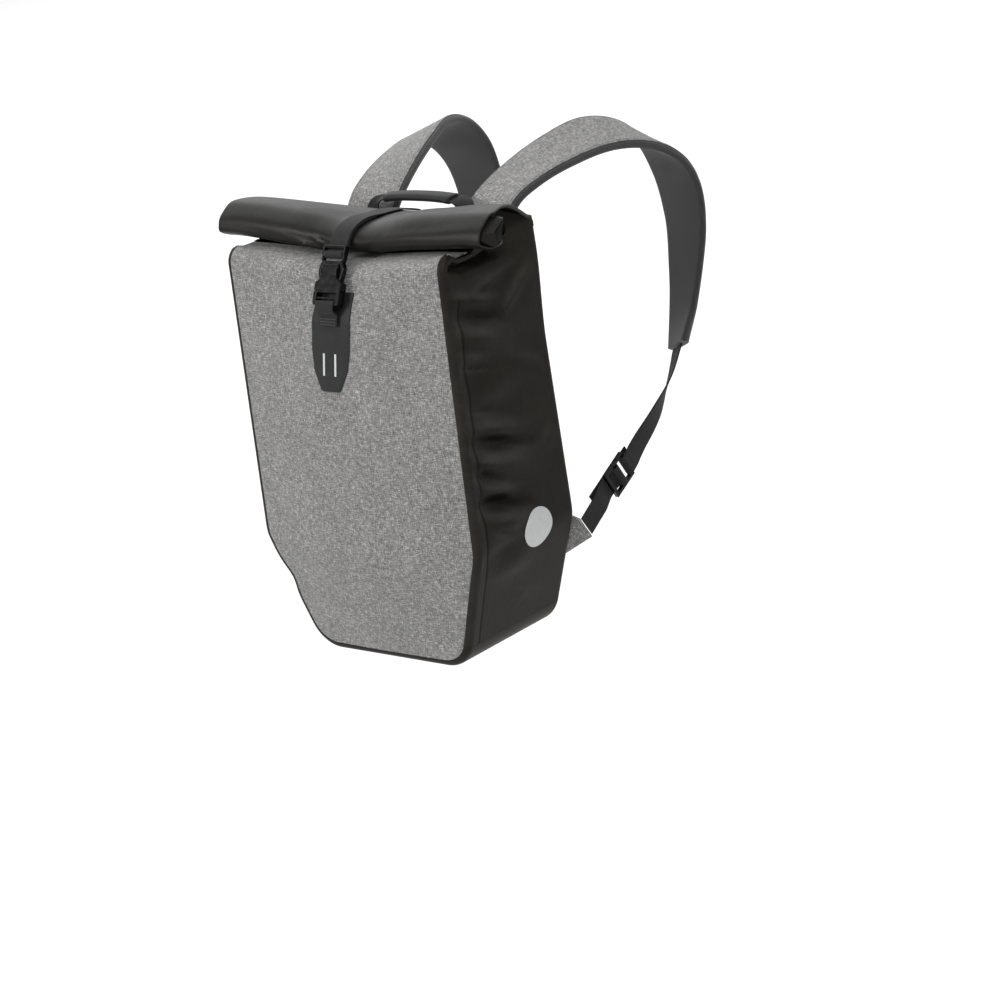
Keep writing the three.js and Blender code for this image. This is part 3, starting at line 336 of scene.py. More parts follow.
# A cloth sheet: its outer face is the grid, and its edges are rounded over
def cloth_object(name, grid, thick):
    rows, cols = grid.shape[:2]
    normals = grid_normals(grid)
    inner = grid - normals * thick
    ring = [(0, j) for j in range(cols)]
    ring += [(i, cols - 1) for i in range(1, rows)]
    ring += [(rows - 1, j) for j in range(cols - 2, -1, -1)]
    ring += [(i, 0) for i in range(rows - 2, 0, -1)]
    ring = np.array(ring)
    edge = grid[ring[:, 0], ring[:, 1]]
    normal = normals[ring[:, 0], ring[:, 1]]
    run = unit(np.roll(edge, -1, axis=0) - np.roll(edge, 1, axis=0))
    out = np.cross(run, normal)
    middle = edge - normal * thick / 2 + out * thick * 0.25
    count = rows * cols
    a = ring[:, 0] * cols + ring[:, 1]
    c = 2 * count + np.arange(len(ring))
    following = np.roll(np.arange(len(ring)), -1)
    rim = np.vstack(
        [
            np.stack([a, c, c[following], a[following]], axis=1),
            np.stack([c, a + count, a[following] + count, c[following]], axis=1),
        ]
    )
    faces = np.vstack([grid_faces(rows, cols), grid_faces(rows, cols, count, flip=True), rim])
    points = np.vstack([grid.reshape(-1, 3), inner.reshape(-1, 3), middle])
    flat = grid_uv(grid).reshape(-1, 2)
    return make_object(name, points, faces, np.vstack([flat, flat, flat[a]]))


# Faces in the order that looks outward, judged by the volume they close
def outward(points, faces, judged=None):
    volume = 0
    for face in faces[:judged]:
        a = points[face[0]]
        for k in range(1, len(face) - 1):
            volume += float(np.dot(a, np.cross(points[face[k]], points[face[k + 1]])))
    return [face[::-1] for face in faces] if volume < 0 else faces


# A solid swept along a line: each ring is a list of offsets across and up, closed round
def sweep_object(name, line, across, rings):
    line = np.asarray(line, float)
    way, up = across_and_up(line, np.broadcast_to(np.asarray(across, float), line.shape))
    rings = np.asarray(rings, float)
    if rings.ndim == 2:
        rings = np.repeat(rings[None], len(line), axis=0)
    count = rings.shape[1]
    points = (
        line[:, None] + way[:, None] * rings[:, :, :1] + up[:, None] * rings[:, :, 1:]
    ).reshape(-1, 3)
    v = run_length(line)
    uv = np.stack([rings[:, :, 0], np.repeat(v[:, None], count, axis=1)], axis=-1).reshape(-1, 2)
    faces = [tuple(quad) for quad in grid_faces(len(line), count, wrap=True)]
    last = (len(line) - 1) * count
    for start, turn in ((0, -1), (last, 1)):
        for j in range(count // 2 - 1):
            quad = (start + j, start + j + 1, start + count - 2 - j, start + count - 1 - j)
            faces.append(quad[::turn])
    return make_object(name, points, outward(points, faces), uv)


# The ring of a flat strap with rounded edges; it starts and ends at the left edge
def flat_ring(width, thick, count):
    half = width / 2
    x = np.linspace(-1, 1, count)
    x = np.sign(x) * (1 - (1 - np.abs(x)) ** 1.5)
    near = np.clip((half - np.abs(x) * half) / (thick / 2), 0, 1)
    z = thick / 2 * np.sqrt(np.clip(1 - (1 - near) ** 2, 0, 1))
    z = np.maximum(z, thick * 0.16)
    top = np.stack([x * half, z], axis=1)
    low = np.stack([x[::-1] * half, -z[::-1]], axis=1)
    return np.vstack([top, low])


# Small stitches along lines on a surface: how far apart, how long, how thick, and how high they lie
def stitch_object(name, lines, pitch, length, radius, lift):
    sides = 6
    shape = [(-0.5, 0.35), (-0.36, 0.85), (0, 1.0), (0.36, 0.85), (0.5, 0.35)]
    points = []
    faces = []
    for line, normals in lines:
        line = np.asarray(line, float)
        normals = np.broadcast_to(np.asarray(normals, float), line.shape)
        run = run_length(line)
        count = max(int(run[-1] // pitch), 1)
        for place in np.linspace(pitch / 2, run[-1] - pitch / 2, count):
            middle = places_at(place, run, line)
            normal = unit(places_at(place, run, normals))
            ahead = places_at(min(place + 1, run[-1]), run, line)
            along = unit(ahead - places_at(max(place - 1, 0), run, line))
            side = np.cross(along, normal)
            start = len(points)
            for share, thick in shape:
                centre = middle + along * share * length + normal * (lift - abs(share) * 0.7 * radius)
                for k in range(sides):
                    angle = 2 * math.pi * k / sides
                    off = side * math.cos(angle) * radius * thick
                    off = off + normal * math.sin(angle) * radius * thick
                    points.append(centre + off)
            for i in range(len(shape) - 1):
                for k in range(sides):
                    a = start + i * sides + k
                    b = start + i * sides + (k + 1) % sides
                    faces.append((a, b, b + sides, a + sides))
            faces.append(tuple(start + k for k in range(sides))[::-1])
            end = start + (len(shape) - 1) * sides
            faces.append(tuple(end + k for k in range(sides)))
    points = np.array(points)
    # one whole stitch shows which way round they all are
    faces = outward(points, faces, (len(shape) - 1) * sides + 2)
    return make_object(name, points, faces, np.zeros((len(points), 2)))


# Helpers for materials
class Graph:
    """A material's nodes round one surface shader."""

    def __init__(self, name, **values):
        self.material = bpy.data.materials.new(name)
        self.material.use_nodes = True
        self.tree = self.material.node_tree
        self.tree.nodes.clear()
        out = self.node("ShaderNodeOutputMaterial")
        self.shader = self.node("ShaderNodeBsdfPrincipled")
        self.tree.links.new(self.shader.outputs[0], out.inputs[0])
        for key, value in values.items():
            self.shader.inputs[key.replace("_", " ")].default_value = value

    def node(self, kind, **values):
        made = self.tree.nodes.new(kind)
        for key, value in values.items():
            setattr(made, key, value)
        return made

    def feed(self, socket, value):
        if isinstance(value, bpy.types.NodeSocket):
            self.tree.links.new(value, socket)
        elif value is not None:
            socket.default_value = value

    def surface(self, key, value):
        self.feed(self.shader.inputs[key], value)

    def place(self, kind="UV", scale=(1000, 1000, 1000), turn=0):
        coordinates = self.node("ShaderNodeTexCoord")
        mapping = self.node("ShaderNodeMapping")
        mapping.inputs["Scale"].default_value = scale
        mapping.inputs["Rotation"].default_value = (0, 0, turn)
        self.tree.links.new(coordinates.outputs[kind], mapping.inputs["Vector"])
        return mapping.outputs[0]

    def stretch(self, vector, scale, shift=(0, 0, 0)):
        mapping = self.node("ShaderNodeMapping")
        mapping.inputs["Scale"].default_value = scale
        mapping.inputs["Location"].default_value = shift
        self.feed(mapping.inputs["Vector"], vector)
        return mapping.outputs[0]

    def split(self, vector):
        made = self.node("ShaderNodeSeparateXYZ")
        self.feed(made.inputs[0], vector)
        return made.outputs[0], made.outputs[1], made.outputs[2]

    def join(self, x, y, z=0.0):
        made = self.node("ShaderNodeCombineXYZ")
        for socket, value in zip(made.inputs, (x, y, z)):
            self.feed(socket, value)
        return made.outputs[0]

    def math(self, operation, a, b=None):
        made = self.node("ShaderNodeMath", operation=operation)
        self.feed(made.inputs[0], a)
        self.feed(made.inputs[1], b)
        return made.outputs[0]

    def plus(self, a, b):
        return self.math("ADD", a, b)

    def times(self, a, b):
        return self.math("MULTIPLY", a, b)

    def weigh(self, a, share_a, b, share_b):
        return self.plus(self.times(a, share_a), self.times(b, share_b))

    def choose(self, first, a, b):
        return self.plus(self.times(first, a), self.times(self.math("SUBTRACT", 1.0, first), b))

    def ripple(self, value, pitch):
        return self.math("ABSOLUTE", self.math("SINE", self.times(value, math.pi / pitch)))

    def noise(self, vector, scale=1.0, detail=2.0, rough=0.5):
        made = self.node("ShaderNodeTexNoise")
        self.feed(made.inputs["Vector"], vector)
        made.inputs["Scale"].default_value = scale
        made.inputs["Detail"].default_value = detail
        made.inputs["Roughness"].default_value = rough
        return made.outputs[0]

    def cells(self, vector, scale, feature="F1"):
        made = self.node("ShaderNodeTexVoronoi", feature=feature)
        self.feed(made.inputs["Vector"], vector)
        made.inputs["Scale"].default_value = scale
        return made.outputs["Distance"]

    def ramp(self, factor, stops):
        made = self.node("ShaderNodeValToRGB")
        elements = made.color_ramp.elements
        while len(elements) < len(stops):
            elements.new(0.5)
        for element, (position, colour) in zip(elements, stops):
            element.position = position
            element.color = (*colour, 1) if isinstance(colour, tuple) else (colour, colour, colour, 1)
        self.feed(made.inputs[0], factor)
        return made.outputs[0]

    def span(self, value, low, high, to_low, to_high):
        made = self.node("ShaderNodeMapRange")
        for socket, item in zip(made.inputs, (value, low, high, to_low, to_high)):
            self.feed(socket, item)
        return made.outputs[0]

    def mix(self, factor, a, b, blend="MIX"):
        made = self.node("ShaderNodeMix", data_type="RGBA", blend_type=blend)
        self.feed(made.inputs[0], factor)
        self.feed(made.inputs[6], (*a, 1) if isinstance(a, tuple) else a)
        self.feed(made.inputs[7], (*b, 1) if isinstance(b, tuple) else b)
        return made.outputs[2]

    def bump(self, height, distance, strength, under=None):
        made = self.node("ShaderNodeBump")
        made.inputs["Strength"].default_value = strength
        made.inputs["Distance"].default_value = distance
        self.feed(made.inputs["Height"], height)
        self.feed(made.inputs["Normal"], under)
        return made.outputs[0]

    def shade(self, colour, factor, stops):
        return self.mix(1.0, colour, self.ramp(factor, stops), "MULTIPLY")


def scaled(tone, by):
    return tuple(c * by for c in tone)


# Grey heather: each thread has light and dark stretches, and the two ways of threads cross
def heather_material(name, turn=0.0):
    g = Graph(name, Roughness=0.88, Sheen_Weight=0.12, Sheen_Roughness=0.6, Specular_IOR_Level=0.25)
    place = g.place("UV", turn=turn)
    u, v, _ = g.split(place)
    pitch = 0.9
    column = g.math("FLOOR", g.math("DIVIDE", u, pitch))
    row = g.math("FLOOR", g.math("DIVIDE", v, pitch))
    warp = g.noise(g.join(g.times(column, 7.31), g.times(v, 0.17), 3.0), detail=1.0)
    weft = g.noise(g.join(g.times(u, 0.15), g.times(row, 5.77), 9.0), detail=1.0)
    over = g.math("MODULO", g.math("ABSOLUTE", g.plus(column, row)), 2.0)
    slub_across = g.noise(g.stretch(place, (0.19, 1.1, 1)), detail=3.0, rough=0.7)
    slub_along = g.noise(g.stretch(place, (1.15, 0.2, 1), (5, 3, 0)), detail=3.0, rough=0.7)
    thread = g.choose(over, warp, weft)
    slubs = g.weigh(slub_across, 0.55, slub_along, 0.45)
    tone = g.weigh(thread, 0.45, slubs, 0.55)
    dark, middle, pale = 0.052, 0.168, 0.42
    colour = g.ramp(
        tone,
        [
            (0.39, (dark, dark, dark * 1.01)),
            (0.475, (middle * 0.86, middle * 0.86, middle * 0.87)),
            (0.525, (middle * 1.12, middle * 1.11, middle * 1.1)),
            (0.62, (pale, pale * 0.99, pale * 0.97)),
        ],
    )
    broad = g.noise(g.stretch(place, (0.02, 0.02, 1)), detail=3.0)
    g.surface("Base Color", g.shade(colour, broad, [(0.3, 0.92), (0.7, 1.06)]))
    weave = g.choose(over, g.ripple(u, pitch), g.ripple(v, pitch))
    g.surface("Normal", g.bump(g.plus(weave, g.times(slubs, 1.4)), 0.00016, 0.8))
    return g.material


# Painted shade and light on the creased sides, as factors on the colour: a shaded hollow, bare cloth, and a
# paler bluish slope that faces up, as if lit
PAINTED_CREASE_SHADE = [(0.0, 0.12), (0.5, 1.0), (1.0, (2.7, 2.9, 3.3))]


# Coated tarpaulin: dark, with a soft gloss, a fine grain and faint rubbed places
def tarpaulin_material(name, tone, gloss, level, paints_crease_shade=False):
    g = Graph(name, Specular_IOR_Level=level)
    place = g.place("Object")
    broad = g.noise(place, scale=0.02, detail=3.0)
    cloudy = g.noise(place, scale=0.09, detail=4.0, rough=0.6)
    fine = g.noise(place, scale=1.1, detail=3.0, rough=0.6)
    grain = g.cells(place, scale=1.25, feature="SMOOTH_F1")
    rubbed = g.weigh(broad, 0.6, cloudy, 0.4)
    colour = g.mix(g.span(rubbed, 0.35, 0.65, 0.0, 1.0), scaled(tone, 0.8), scaled(tone, 1.28))
    colour = g.shade(colour, fine, [(0.3, 0.9), (0.7, 1.1)])
    # the crease attribute holds painted shade and light: from -1, a shaded hollow or a slope that faces down,
    # to 1, a slope that faces up and is painted as if lit
    if paints_crease_shade:
        painted_shade = g.node("ShaderNodeAttribute", attribute_name="crease")
        colour = g.shade(colour, g.span(painted_shade.outputs[2], -1.0, 1.0, 0.0, 1.0), PAINTED_CREASE_SHADE)
    g.surface("Base Color", colour)
    even = g.span(rubbed, 0.3, 0.7, gloss - 0.04, gloss + 0.07)
    g.surface("Roughness", g.plus(even, g.times(fine, 0.06)))
    soft = g.bump(cloudy, 0.0012, 0.25)
    g.surface("Normal", g.bump(g.plus(grain, g.times(fine, 0.8)), 0.00012, 0.6, soft))
    return g.material


# Woven webbing: ribs across, in columns that lean both ways, rubbed paler in places
def webbing_material(name):
    g = Graph(name, Roughness=0.7, Sheen_Weight=0.04, Sheen_Roughness=0.45, Specular_IOR_Level=0.2)
    tone = (0.009, 0.009, 0.0095)
    place = g.place("UV")
    u, v, _ = g.split(place)
    leaning = g.plus(v, g.times(g.math("PINGPONG", u, 2.1), 0.55))
    rib = g.math("SINE", g.times(leaning, 2 * math.pi / 1.35))
    height = g.weigh(rib, 0.5, g.ripple(u, 1.05), 0.4)
    worn = g.noise(g.stretch(place, (0.3, 0.08, 1)), detail=4.0, rough=0.65)
    fibres = g.noise(g.stretch(place, (3.0, 1.2, 1)), detail=2.0)
    factor = g.weigh(height, 0.3, fibres, 0.6)
    colour = g.mix(g.span(factor, 0.1, 0.75, 0.0, 1.0), scaled(tone, 0.55), scaled(tone, 2.3))
    g.surface("Base Color", g.shade(colour, worn, [(0.3, 0.8), (0.72, 1.25)]))
    g.surface("Normal", g.bump(height, 0.00022, 0.9))
    return g.material


# Spacer mesh: small round holes in offset rows
def spacer_material(name):
    g = Graph(name, Roughness=0.82, Sheen_Weight=0.25, Sheen_Roughness=0.5, Specular_IOR_Level=0.3)
    place = g.place("UV")
    u, v, _ = g.split(place)
    hole_wide, hole_tall = 1.3, 1.1
    row = g.math("FLOOR", g.math("DIVIDE", v, 2 * hole_tall))
    shift = g.times(g.math("MODULO", g.math("ABSOLUTE", row), 2.0), hole_wide)
    hole = g.times(g.ripple(g.plus(u, shift), hole_wide), g.ripple(v, hole_tall))
    deep = g.span(hole, 0.45, 0.75, 0.0, 1.0)
    fibres = g.noise(g.stretch(place, (2.4, 2.4, 1)), detail=3.0)
    colour = g.mix(deep, (0.03, 0.03, 0.032), (0.004, 0.004, 0.004))
    g.surface("Base Color", g.shade(colour, fibres, [(0.3, 0.7), (0.7, 1.3)]))
    g.surface("Normal", g.bump(g.math("SUBTRACT", 1.0, deep), 0.0005, 0.8))
    return g.material


# Moulded plastic: black, half glossy, with a fine spark-eroded grain
def plastic_material(name):
    g = Graph(name, Specular_IOR_Level=0.22)
    tone, gloss = (0.0024, 0.0024, 0.0026), 0.18
    place = g.place("Object")
    grain = g.noise(place, scale=3.0, detail=3.0, rough=0.6)
    cloudy = g.noise(place, scale=0.16, detail=3.0)
    g.surface("Base Color", g.mix(cloudy, scaled(tone, 0.8), scaled(tone, 1.6)))
    g.surface("Roughness", g.span(cloudy, 0.3, 0.7, gloss - 0.04, gloss + 0.07))
    g.surface("Normal", g.bump(grain, 0.00005, 0.5))
    return g.material


# Grey film with glass beads: pale and even, with a pearly grain
def reflective_material(name):
    g = Graph(name, Metallic=0.25)
    tone = (0.5, 0.52, 0.52)
    place = g.place("Object")
    beads = g.cells(place, scale=3.2)
    cloudy = g.noise(place, scale=0.12, detail=4.0, rough=0.6)
    colour = g.mix(g.span(beads, 0.0, 0.8, 0.0, 1.0), scaled(tone, 1.06), scaled(tone, 0.88))
    g.surface("Base Color", g.shade(colour, cloudy, [(0.3, 0.94), (0.7, 1.04)]))
    g.surface("Roughness", g.span(cloudy, 0.3, 0.7, 0.4, 0.52))
    g.surface("Normal", g.bump(beads, 0.00004, 0.5))
    return g.material


# Twisted sewing thread, with bands that run askew
def thread_material(name, tone):
    g = Graph(name, Roughness=0.6, Sheen_Weight=0.3)
    place = g.place("Object")
    twist = g.node("ShaderNodeTexWave", wave_type="BANDS", bands_direction="DIAGONAL")
    g.feed(twist.inputs["Vector"], place)
    twist.inputs["Scale"].default_value = 1.4
    g.surface("Base Color", g.mix(twist.outputs[1], scaled(tone, 0.6), scaled(tone, 1.5)))
    g.surface("Normal", g.bump(twist.outputs[1], 0.00006, 0.6))
    return g.material


# The looks in use
HEATHER = heather_material("grey_heather")
HEATHER_STRAP = heather_material("grey_heather_strap", turn=0.12)
TARPAULIN = tarpaulin_material("dark_tarpaulin", (0.0078, 0.0073, 0.0068), 0.38, 0.16)
# the side walls paint shade and light into their colour from the crease attribute
TARPAULIN_SIDE = tarpaulin_material("dark_tarpaulin_side", (0.0122, 0.0104, 0.0084), 0.42, 0.1, True)
TARPAULIN_INNER = tarpaulin_material("dark_tarpaulin_inner", (0.0085, 0.008, 0.0075), 0.5, 0.14)
WEBBING = webbing_material("black_webbing")
SPACER = spacer_material("spacer_mesh")
PLASTIC = plastic_material("black_plastic")
RUBBERISED = tarpaulin_material("grey_rubberised", (0.0165, 0.0168, 0.0175), 0.5, 0.16)
REFLECTIVE = reflective_material("reflective_film")
THREAD_GREY = thread_material("grey_thread", (0.026, 0.026, 0.026))


# Gives a piece its look and its body, and hides the nodes that it replaces
def dress(piece, look, slot, *nodes):
    piece.data.materials.append(look)
    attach(piece, "root")
    if nodes:
        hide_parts(*nodes)
    return piece


# A dressed cloth sheet, and dressed stitches
def lay_cloth(name, grid, thick, look, slot, *nodes):
    return dress(cloth_object(name, grid, thick), look, slot, *nodes)


def sew(name, lines, *sizes):
    dress(stitch_object(name, lines, *sizes), THREAD_GREY, "black_webbing")


# The bag's outline, right half, from the middle of the base to the top of a side
def outline_corner(start, corner, radius, end):
    before = unit(np.subtract(corner, start))
    after = unit(np.subtract(end, corner))
    turn = math.acos(float(np.dot(before, after)))
    cut = radius * math.tan(turn / 2)
    first = np.array(corner) - before * cut
    centre = first + np.array([-before[1], before[0]]) * radius
    return centre, math.atan2(-before[0], before[1]), turn, radius


def corner_places(corner, count):
    centre, first, turn, radius = corner
    angles = first + turn * np.linspace(0, 1, count + 1)
    normals = np.stack([np.cos(angles), np.sin(angles)], axis=1)
    return np.hstack([centre + radius * normals, normals])


def straight_places(a, b, count):
    t = np.linspace(0, 1, count + 1)[1:-1, None]
    return lerp(a, b, t)


FOOT_CORNER = outline_corner((0, 0), (FOOT_HALF_WIDTH, 0), FOOT_RADIUS, (BAG_HALF_WIDTH, TAPER_HEIGHT))
TAPER_CORNER = outline_corner(
    (FOOT_HALF_WIDTH, 0), (BAG_HALF_WIDTH, TAPER_HEIGHT), TAPER_RADIUS, (BAG_HALF_WIDTH, FRONT_HEIGHT)
)
CORNER_ROWS = corner_places(FOOT_CORNER, 14)
TAPER_ROWS = corner_places(TAPER_CORNER, 12)
SIDE_TOP = np.array([BAG_HALF_WIDTH, FRONT_HEIGHT, 1.0, 0.0])
SIDE_ROWS = np.vstack(
    [
        CORNER_ROWS[-1:],
        straight_places(CORNER_ROWS[-1], TAPER_ROWS[0], 18),
        TAPER_ROWS,
        straight_places(TAPER_ROWS[-1], SIDE_TOP, 96),
        SIDE_TOP[None],
    ]
)


def depth_at(z):
    low = lerp(FOOT_DEPTH, BAG_DEPTH, smooth(0, TAPER_HEIGHT, z))
    share = np.minimum((np.asarray(z, float) - TAPER_HEIGHT) / (FRONT_HEIGHT - TAPER_HEIGHT), 1)
    return np.where(np.asarray(z) < TAPER_HEIGHT, low, lerp(BAG_DEPTH, TOP_DEPTH, share))


def dents_at(table, first, second):
    total = 0
    for a, b, half_a, half_b, inward in table:
        total = total + inward * bell((first - a) / half_a) * bell((second - b) / half_b)
    return total


# Fine folds that the solids leave out: place, half sizes, lean and height of each
FRONT_FOLDS = [
    (-96, 402, 26, 4.0, -0.35, -1.2),
    (-60, 398, 20, 4.5, 0.55, -1.0),
    (-34, 404, 12, 3.0, 0.9, -1.1),
    (42, 402, 14, 3.2, -0.8, -0.9),
    (96, 206, 22, 3.4, 0.28, -1.5),
    (104, 214, 24, 4.2, 0.3, 1.2),
    (112, 186, 18, 3.6, 0.12, -0.8),
    (-118, 60, 20, 5, 0.9, -1.0),
    (84, 26, 30, 5, -0.5, -0.9),
]


def folds_at(table, x, z):
    total = 0
    for at_x, at_z, half, wide, lean, height in table:
        angle = math.atan(lean)
        along = (x - at_x) * math.cos(angle) + (z - at_z) * math.sin(angle)
        off = -(x - at_x) * math.sin(angle) + (z - at_z) * math.cos(angle)
        total = total + height * bell(along / half) * bell(off / wide)
    return total


# The front's crown fades by this share towards the top, from this share of the height on
CROWN_FADE = 0.55
CROWN_TOP = 0.55


def front_out(side, z):
    across = np.maximum(1 - side * side, 0)
    low = smooth(0, TAPER_HEIGHT, z) ** 0.6
    high = 1 - CROWN_FADE * smooth(CROWN_TOP, 1, z / FRONT_HEIGHT)
    dents = dents_at(FRONT_DENTS, side, z / FRONT_HEIGHT)
    return FRONT_CROWN * across * low * high - dents * np.minimum(across * 4, 1)


def outline_half(place, side, inset):
    dip = LEFT_DIP[2] * math.exp(-(((place[1] - LEFT_DIP[0]) / LEFT_DIP[1]) ** 2)) if side < 0 else 0
    return place[0] - place[2] * (inset + dip)


STRAP_COLUMN = WEB_WIDTH / 2 + 1.5


def off_strap(x):
    return np.maximum(np.abs(np.asarray(x, float) - STRAP_SIDE) - STRAP_COLUMN, 0)


def pull_at(x, z):
    return STRAP_PULL * bell(off_strap(x) / STRAP_PULL_HALF) * smooth(STRAP_PULL_FOOT, STRAP_PULL_TOP, z)


def sag_at(x):
    return ROLL_SAG * bell(off_strap(x) / ROLL_SAG_HALF)


# The top corners of the front stand up a little where the panels meet: how much, and round which place
CORNER_RISE = {1: 5.5, -1: 3.0}
CORNER_SIDE = 150
CORNER_HALF = 18
CORNER_AHEAD = 122
CORNER_FADE = 6


def raise_corners(grid):
    x, y, z = grid[:, :, 0], grid[:, :, 1], grid[:, :, 2]
    near = bell((np.abs(x) - CORNER_SIDE) / CORNER_HALF)
    near = near * bell(np.maximum(y + CORNER_AHEAD, 0) / CORNER_FADE)
    rise = np.where(x > 0, CORNER_RISE[1], CORNER_RISE[-1])
    grid[:, :, 2] = z + rise * near * smooth(FRONT_HEIGHT - 22, FRONT_HEIGHT + 14, z)
    return grid


# Front panel: its edges lie under the lips of the side walls
FRONT_SHARES = np.linspace(-1, 1, 117)
LIP_STEPS = [(4.2, 2.4), (2.8, 2.1), (1.2, 0.9)]
FOOT_STEP = 1.2


def front_grid():
    inset = FRONT_EDGE_RADIUS + PANEL_GAP
    rows = []

    def row(left, right, depth_of):
        x = lerp(left, right, (FRONT_SHARES + 1) / 2)
        y, z = depth_of(x, FRONT_SHARES)
        points = np.stack([x, y, z], axis=1)
        start = [points[0] + [-out, back, 0] for out, back in LIP_STEPS]
        end = [points[-1] + [out, back, 0] for out, back in reversed(LIP_STEPS)]
        return np.vstack([start, points, end])

    def on_front(height):
        def at(x, share):
            drop = sag_at(x) * smooth(0.8, 1, height / FRONT_HEIGHT)
            folds = folds_at(FRONT_FOLDS, x, height) * np.minimum((1 - share * share) * 5, 1)
            y = -depth_at(height) - front_out(share, height) + pull_at(x, height) - folds
            return y, height - drop

        return at

    def on_bend(angle, run):
        def at(x, share):
            crown = front_out(share, FRONT_HEIGHT) * math.cos(angle)
            start = -TOP_DEPTH - crown + pull_at(x, FRONT_HEIGHT)
            under_roll = -ROLL_AHEAD + ROLL_DEPTH * 0.2
            y = np.minimum(start + FRONT_BEND * (1 - math.cos(angle)) + run, under_roll)
            return y, FRONT_HEIGHT + FRONT_BEND * math.sin(angle) - sag_at(x)

        return at

    for place in np.vstack([CORNER_ROWS, SIDE_ROWS[1:]]):
        height = place[1] - place[3] * inset
        left = -outline_half(place, -1, inset)
        right = outline_half(place, 1, inset)
        rows.append(row(left, right, on_front(height)))
    left = -outline_half(SIDE_TOP, -1, inset)
    right = outline_half(SIDE_TOP, 1, inset)
    for share in np.linspace(0, 1, 11)[1:]:
        rows.append(row(left, right, on_bend(share * math.pi / 2, 0)))
    for share in np.linspace(0, 1, 5)[1:]:
        rows.append(row(left, right, on_bend(math.pi / 2, FRONT_LIP * share)))
    grid = np.array(rows)
    grid[0, :, 1] += FOOT_STEP
    return raise_corners(grid)


# Roll closure: the shares of the collar's run where its stand, its fold and its slope end
STAND_SHARE = 0.02
FOLD_SHARE = 0.06
SLOPE_SHARE = 0.22
FOLD_END = math.radians(66)
# How much of the roll's sag the collar's foot takes, how long the slope's handles are, and its puff
COLLAR_SAG = 0.3
SLOPE_HANDLE = 0.38
COLLAR_PUFF = 3.2
PUFF_FROM = 90
PUFF_TO = 150
# The smallest half depth and half height of the roll's inner turns
CORE_DEEP = 4
CORE_TALL = 2.5


def roll_at(x):
    squeeze = 1 - ROLL_SQUEEZE * bell(off_strap(x) / (ROLL_SAG_HALF * 0.5))
    tall = ROLL_TALL / 2 * squeeze
    rest = FRONT_HEIGHT + FRONT_BEND + REST_GAP
    y = -ROLL_AHEAD + ROLL_PULL * bell(off_strap(x) / STRAP_PULL_HALF)
    return y, rest + tall - sag_at(x), ROLL_DEPTH / 2, tall


def collar_point(t, x):
    roll_y, roll_z, deep, tall = roll_at(x)
    base = BACK_HEIGHT + SEAM_GAP
    sag = sag_at(x) * COLLAR_SAG

    def on_fold(angle):
        y = -COLLAR_FOLD * (1 - math.cos(angle))
        z = base + COLLAR_STAND + COLLAR_FOLD * math.sin(angle) - sag * angle / FOLD_END
        return y, z

    zero = np.zeros_like(np.asarray(x, float))
    if t < STAND_SHARE:
        return zero, zero + base + COLLAR_STAND * t / STAND_SHARE
    if t < FOLD_SHARE:
        y, z = on_fold(FOLD_END * (t - STAND_SHARE) / (FOLD_SHARE - STAND_SHARE))
        return zero + y, zero + z
    if t < SLOPE_SHARE:
        s = (t - FOLD_SHARE) / (SLOPE_SHARE - FOLD_SHARE)
        y0, z0 = on_fold(FOLD_END)
        y3, z3 = roll_y, roll_z + tall
        reach = (y0 - y3) * SLOPE_HANDLE
        y1, z1 = y0 - reach * math.sin(FOLD_END), z0 + reach * math.cos(FOLD_END)
        y2, z2 = y3 + reach, z3

        def mix(a, b, c, d):
            return a * (1 - s) ** 3 + 3 * b * s * (1 - s) ** 2 + 3 * c * s * s * (1 - s) + d * s**3

        puff = COLLAR_PUFF * math.sin(math.pi * s) * smooth(PUFF_FROM, PUFF_TO, x)
        return mix(y0, y1, y2, y3), mix(z0, z1, z2, z3) + puff
    turns = ROLL_TURNS * (t - SLOPE_SHARE) / (1 - SLOPE_SHARE)
    angle = math.pi / 2 + turns * 2 * math.pi
    less = ROLL_PITCH * turns
    y = roll_y + np.maximum(deep - less, CORE_DEEP) * math.cos(angle)
    z = roll_z + np.maximum(tall - less, CORE_TALL) * math.sin(angle)
    return y, z


COLLAR_SHARES = np.linspace(0, 1, 80) * SLOPE_SHARE * 0.9999
COLLAR_LINE = np.array([np.ravel(collar_point(t, BAG_HALF_WIDTH)) for t in COLLAR_SHARES])


def collar_height(y):
    inside = np.interp(-np.asarray(y, float), -COLLAR_LINE[:, 0], COLLAR_LINE[:, 1])
    return np.where(-np.asarray(y) > -COLLAR_LINE[-1, 0], FRONT_HEIGHT + FRONT_BEND + ROLL_TALL, inside)


def roll_underside(y):
    _, z, deep, tall = roll_at(BAG_HALF_WIDTH)
    share = np.minimum(np.abs(np.asarray(y, float) + ROLL_AHEAD) / deep, 1)
    return z - tall * np.sqrt(1 - share * share)


# A side wall's top lies under the roll, then under the collar: its clearances, and where it changes
LIP_CLEAR = 2
COLLAR_CLEAR = 1.6 * ROLL_CLOTH
TOP_CHANGE = 12


def side_top_at(y):
    behind = -ROLL_AHEAD + ROLL_DEPTH / 2 + CLOTH
    lip = FRONT_HEIGHT + FRONT_BEND - LIP_CLEAR
    below_roll = roll_underside(y - LIP_CLEAR)
    under = np.where(y < -ROLL_AHEAD, np.minimum(roll_underside(y), lip), below_roll)
    collar = collar_height(y) - COLLAR_CLEAR - REST_GAP
    return lerp(np.minimum(under - REST_GAP, collar), collar, smooth(behind, behind + TOP_CHANGE, y))


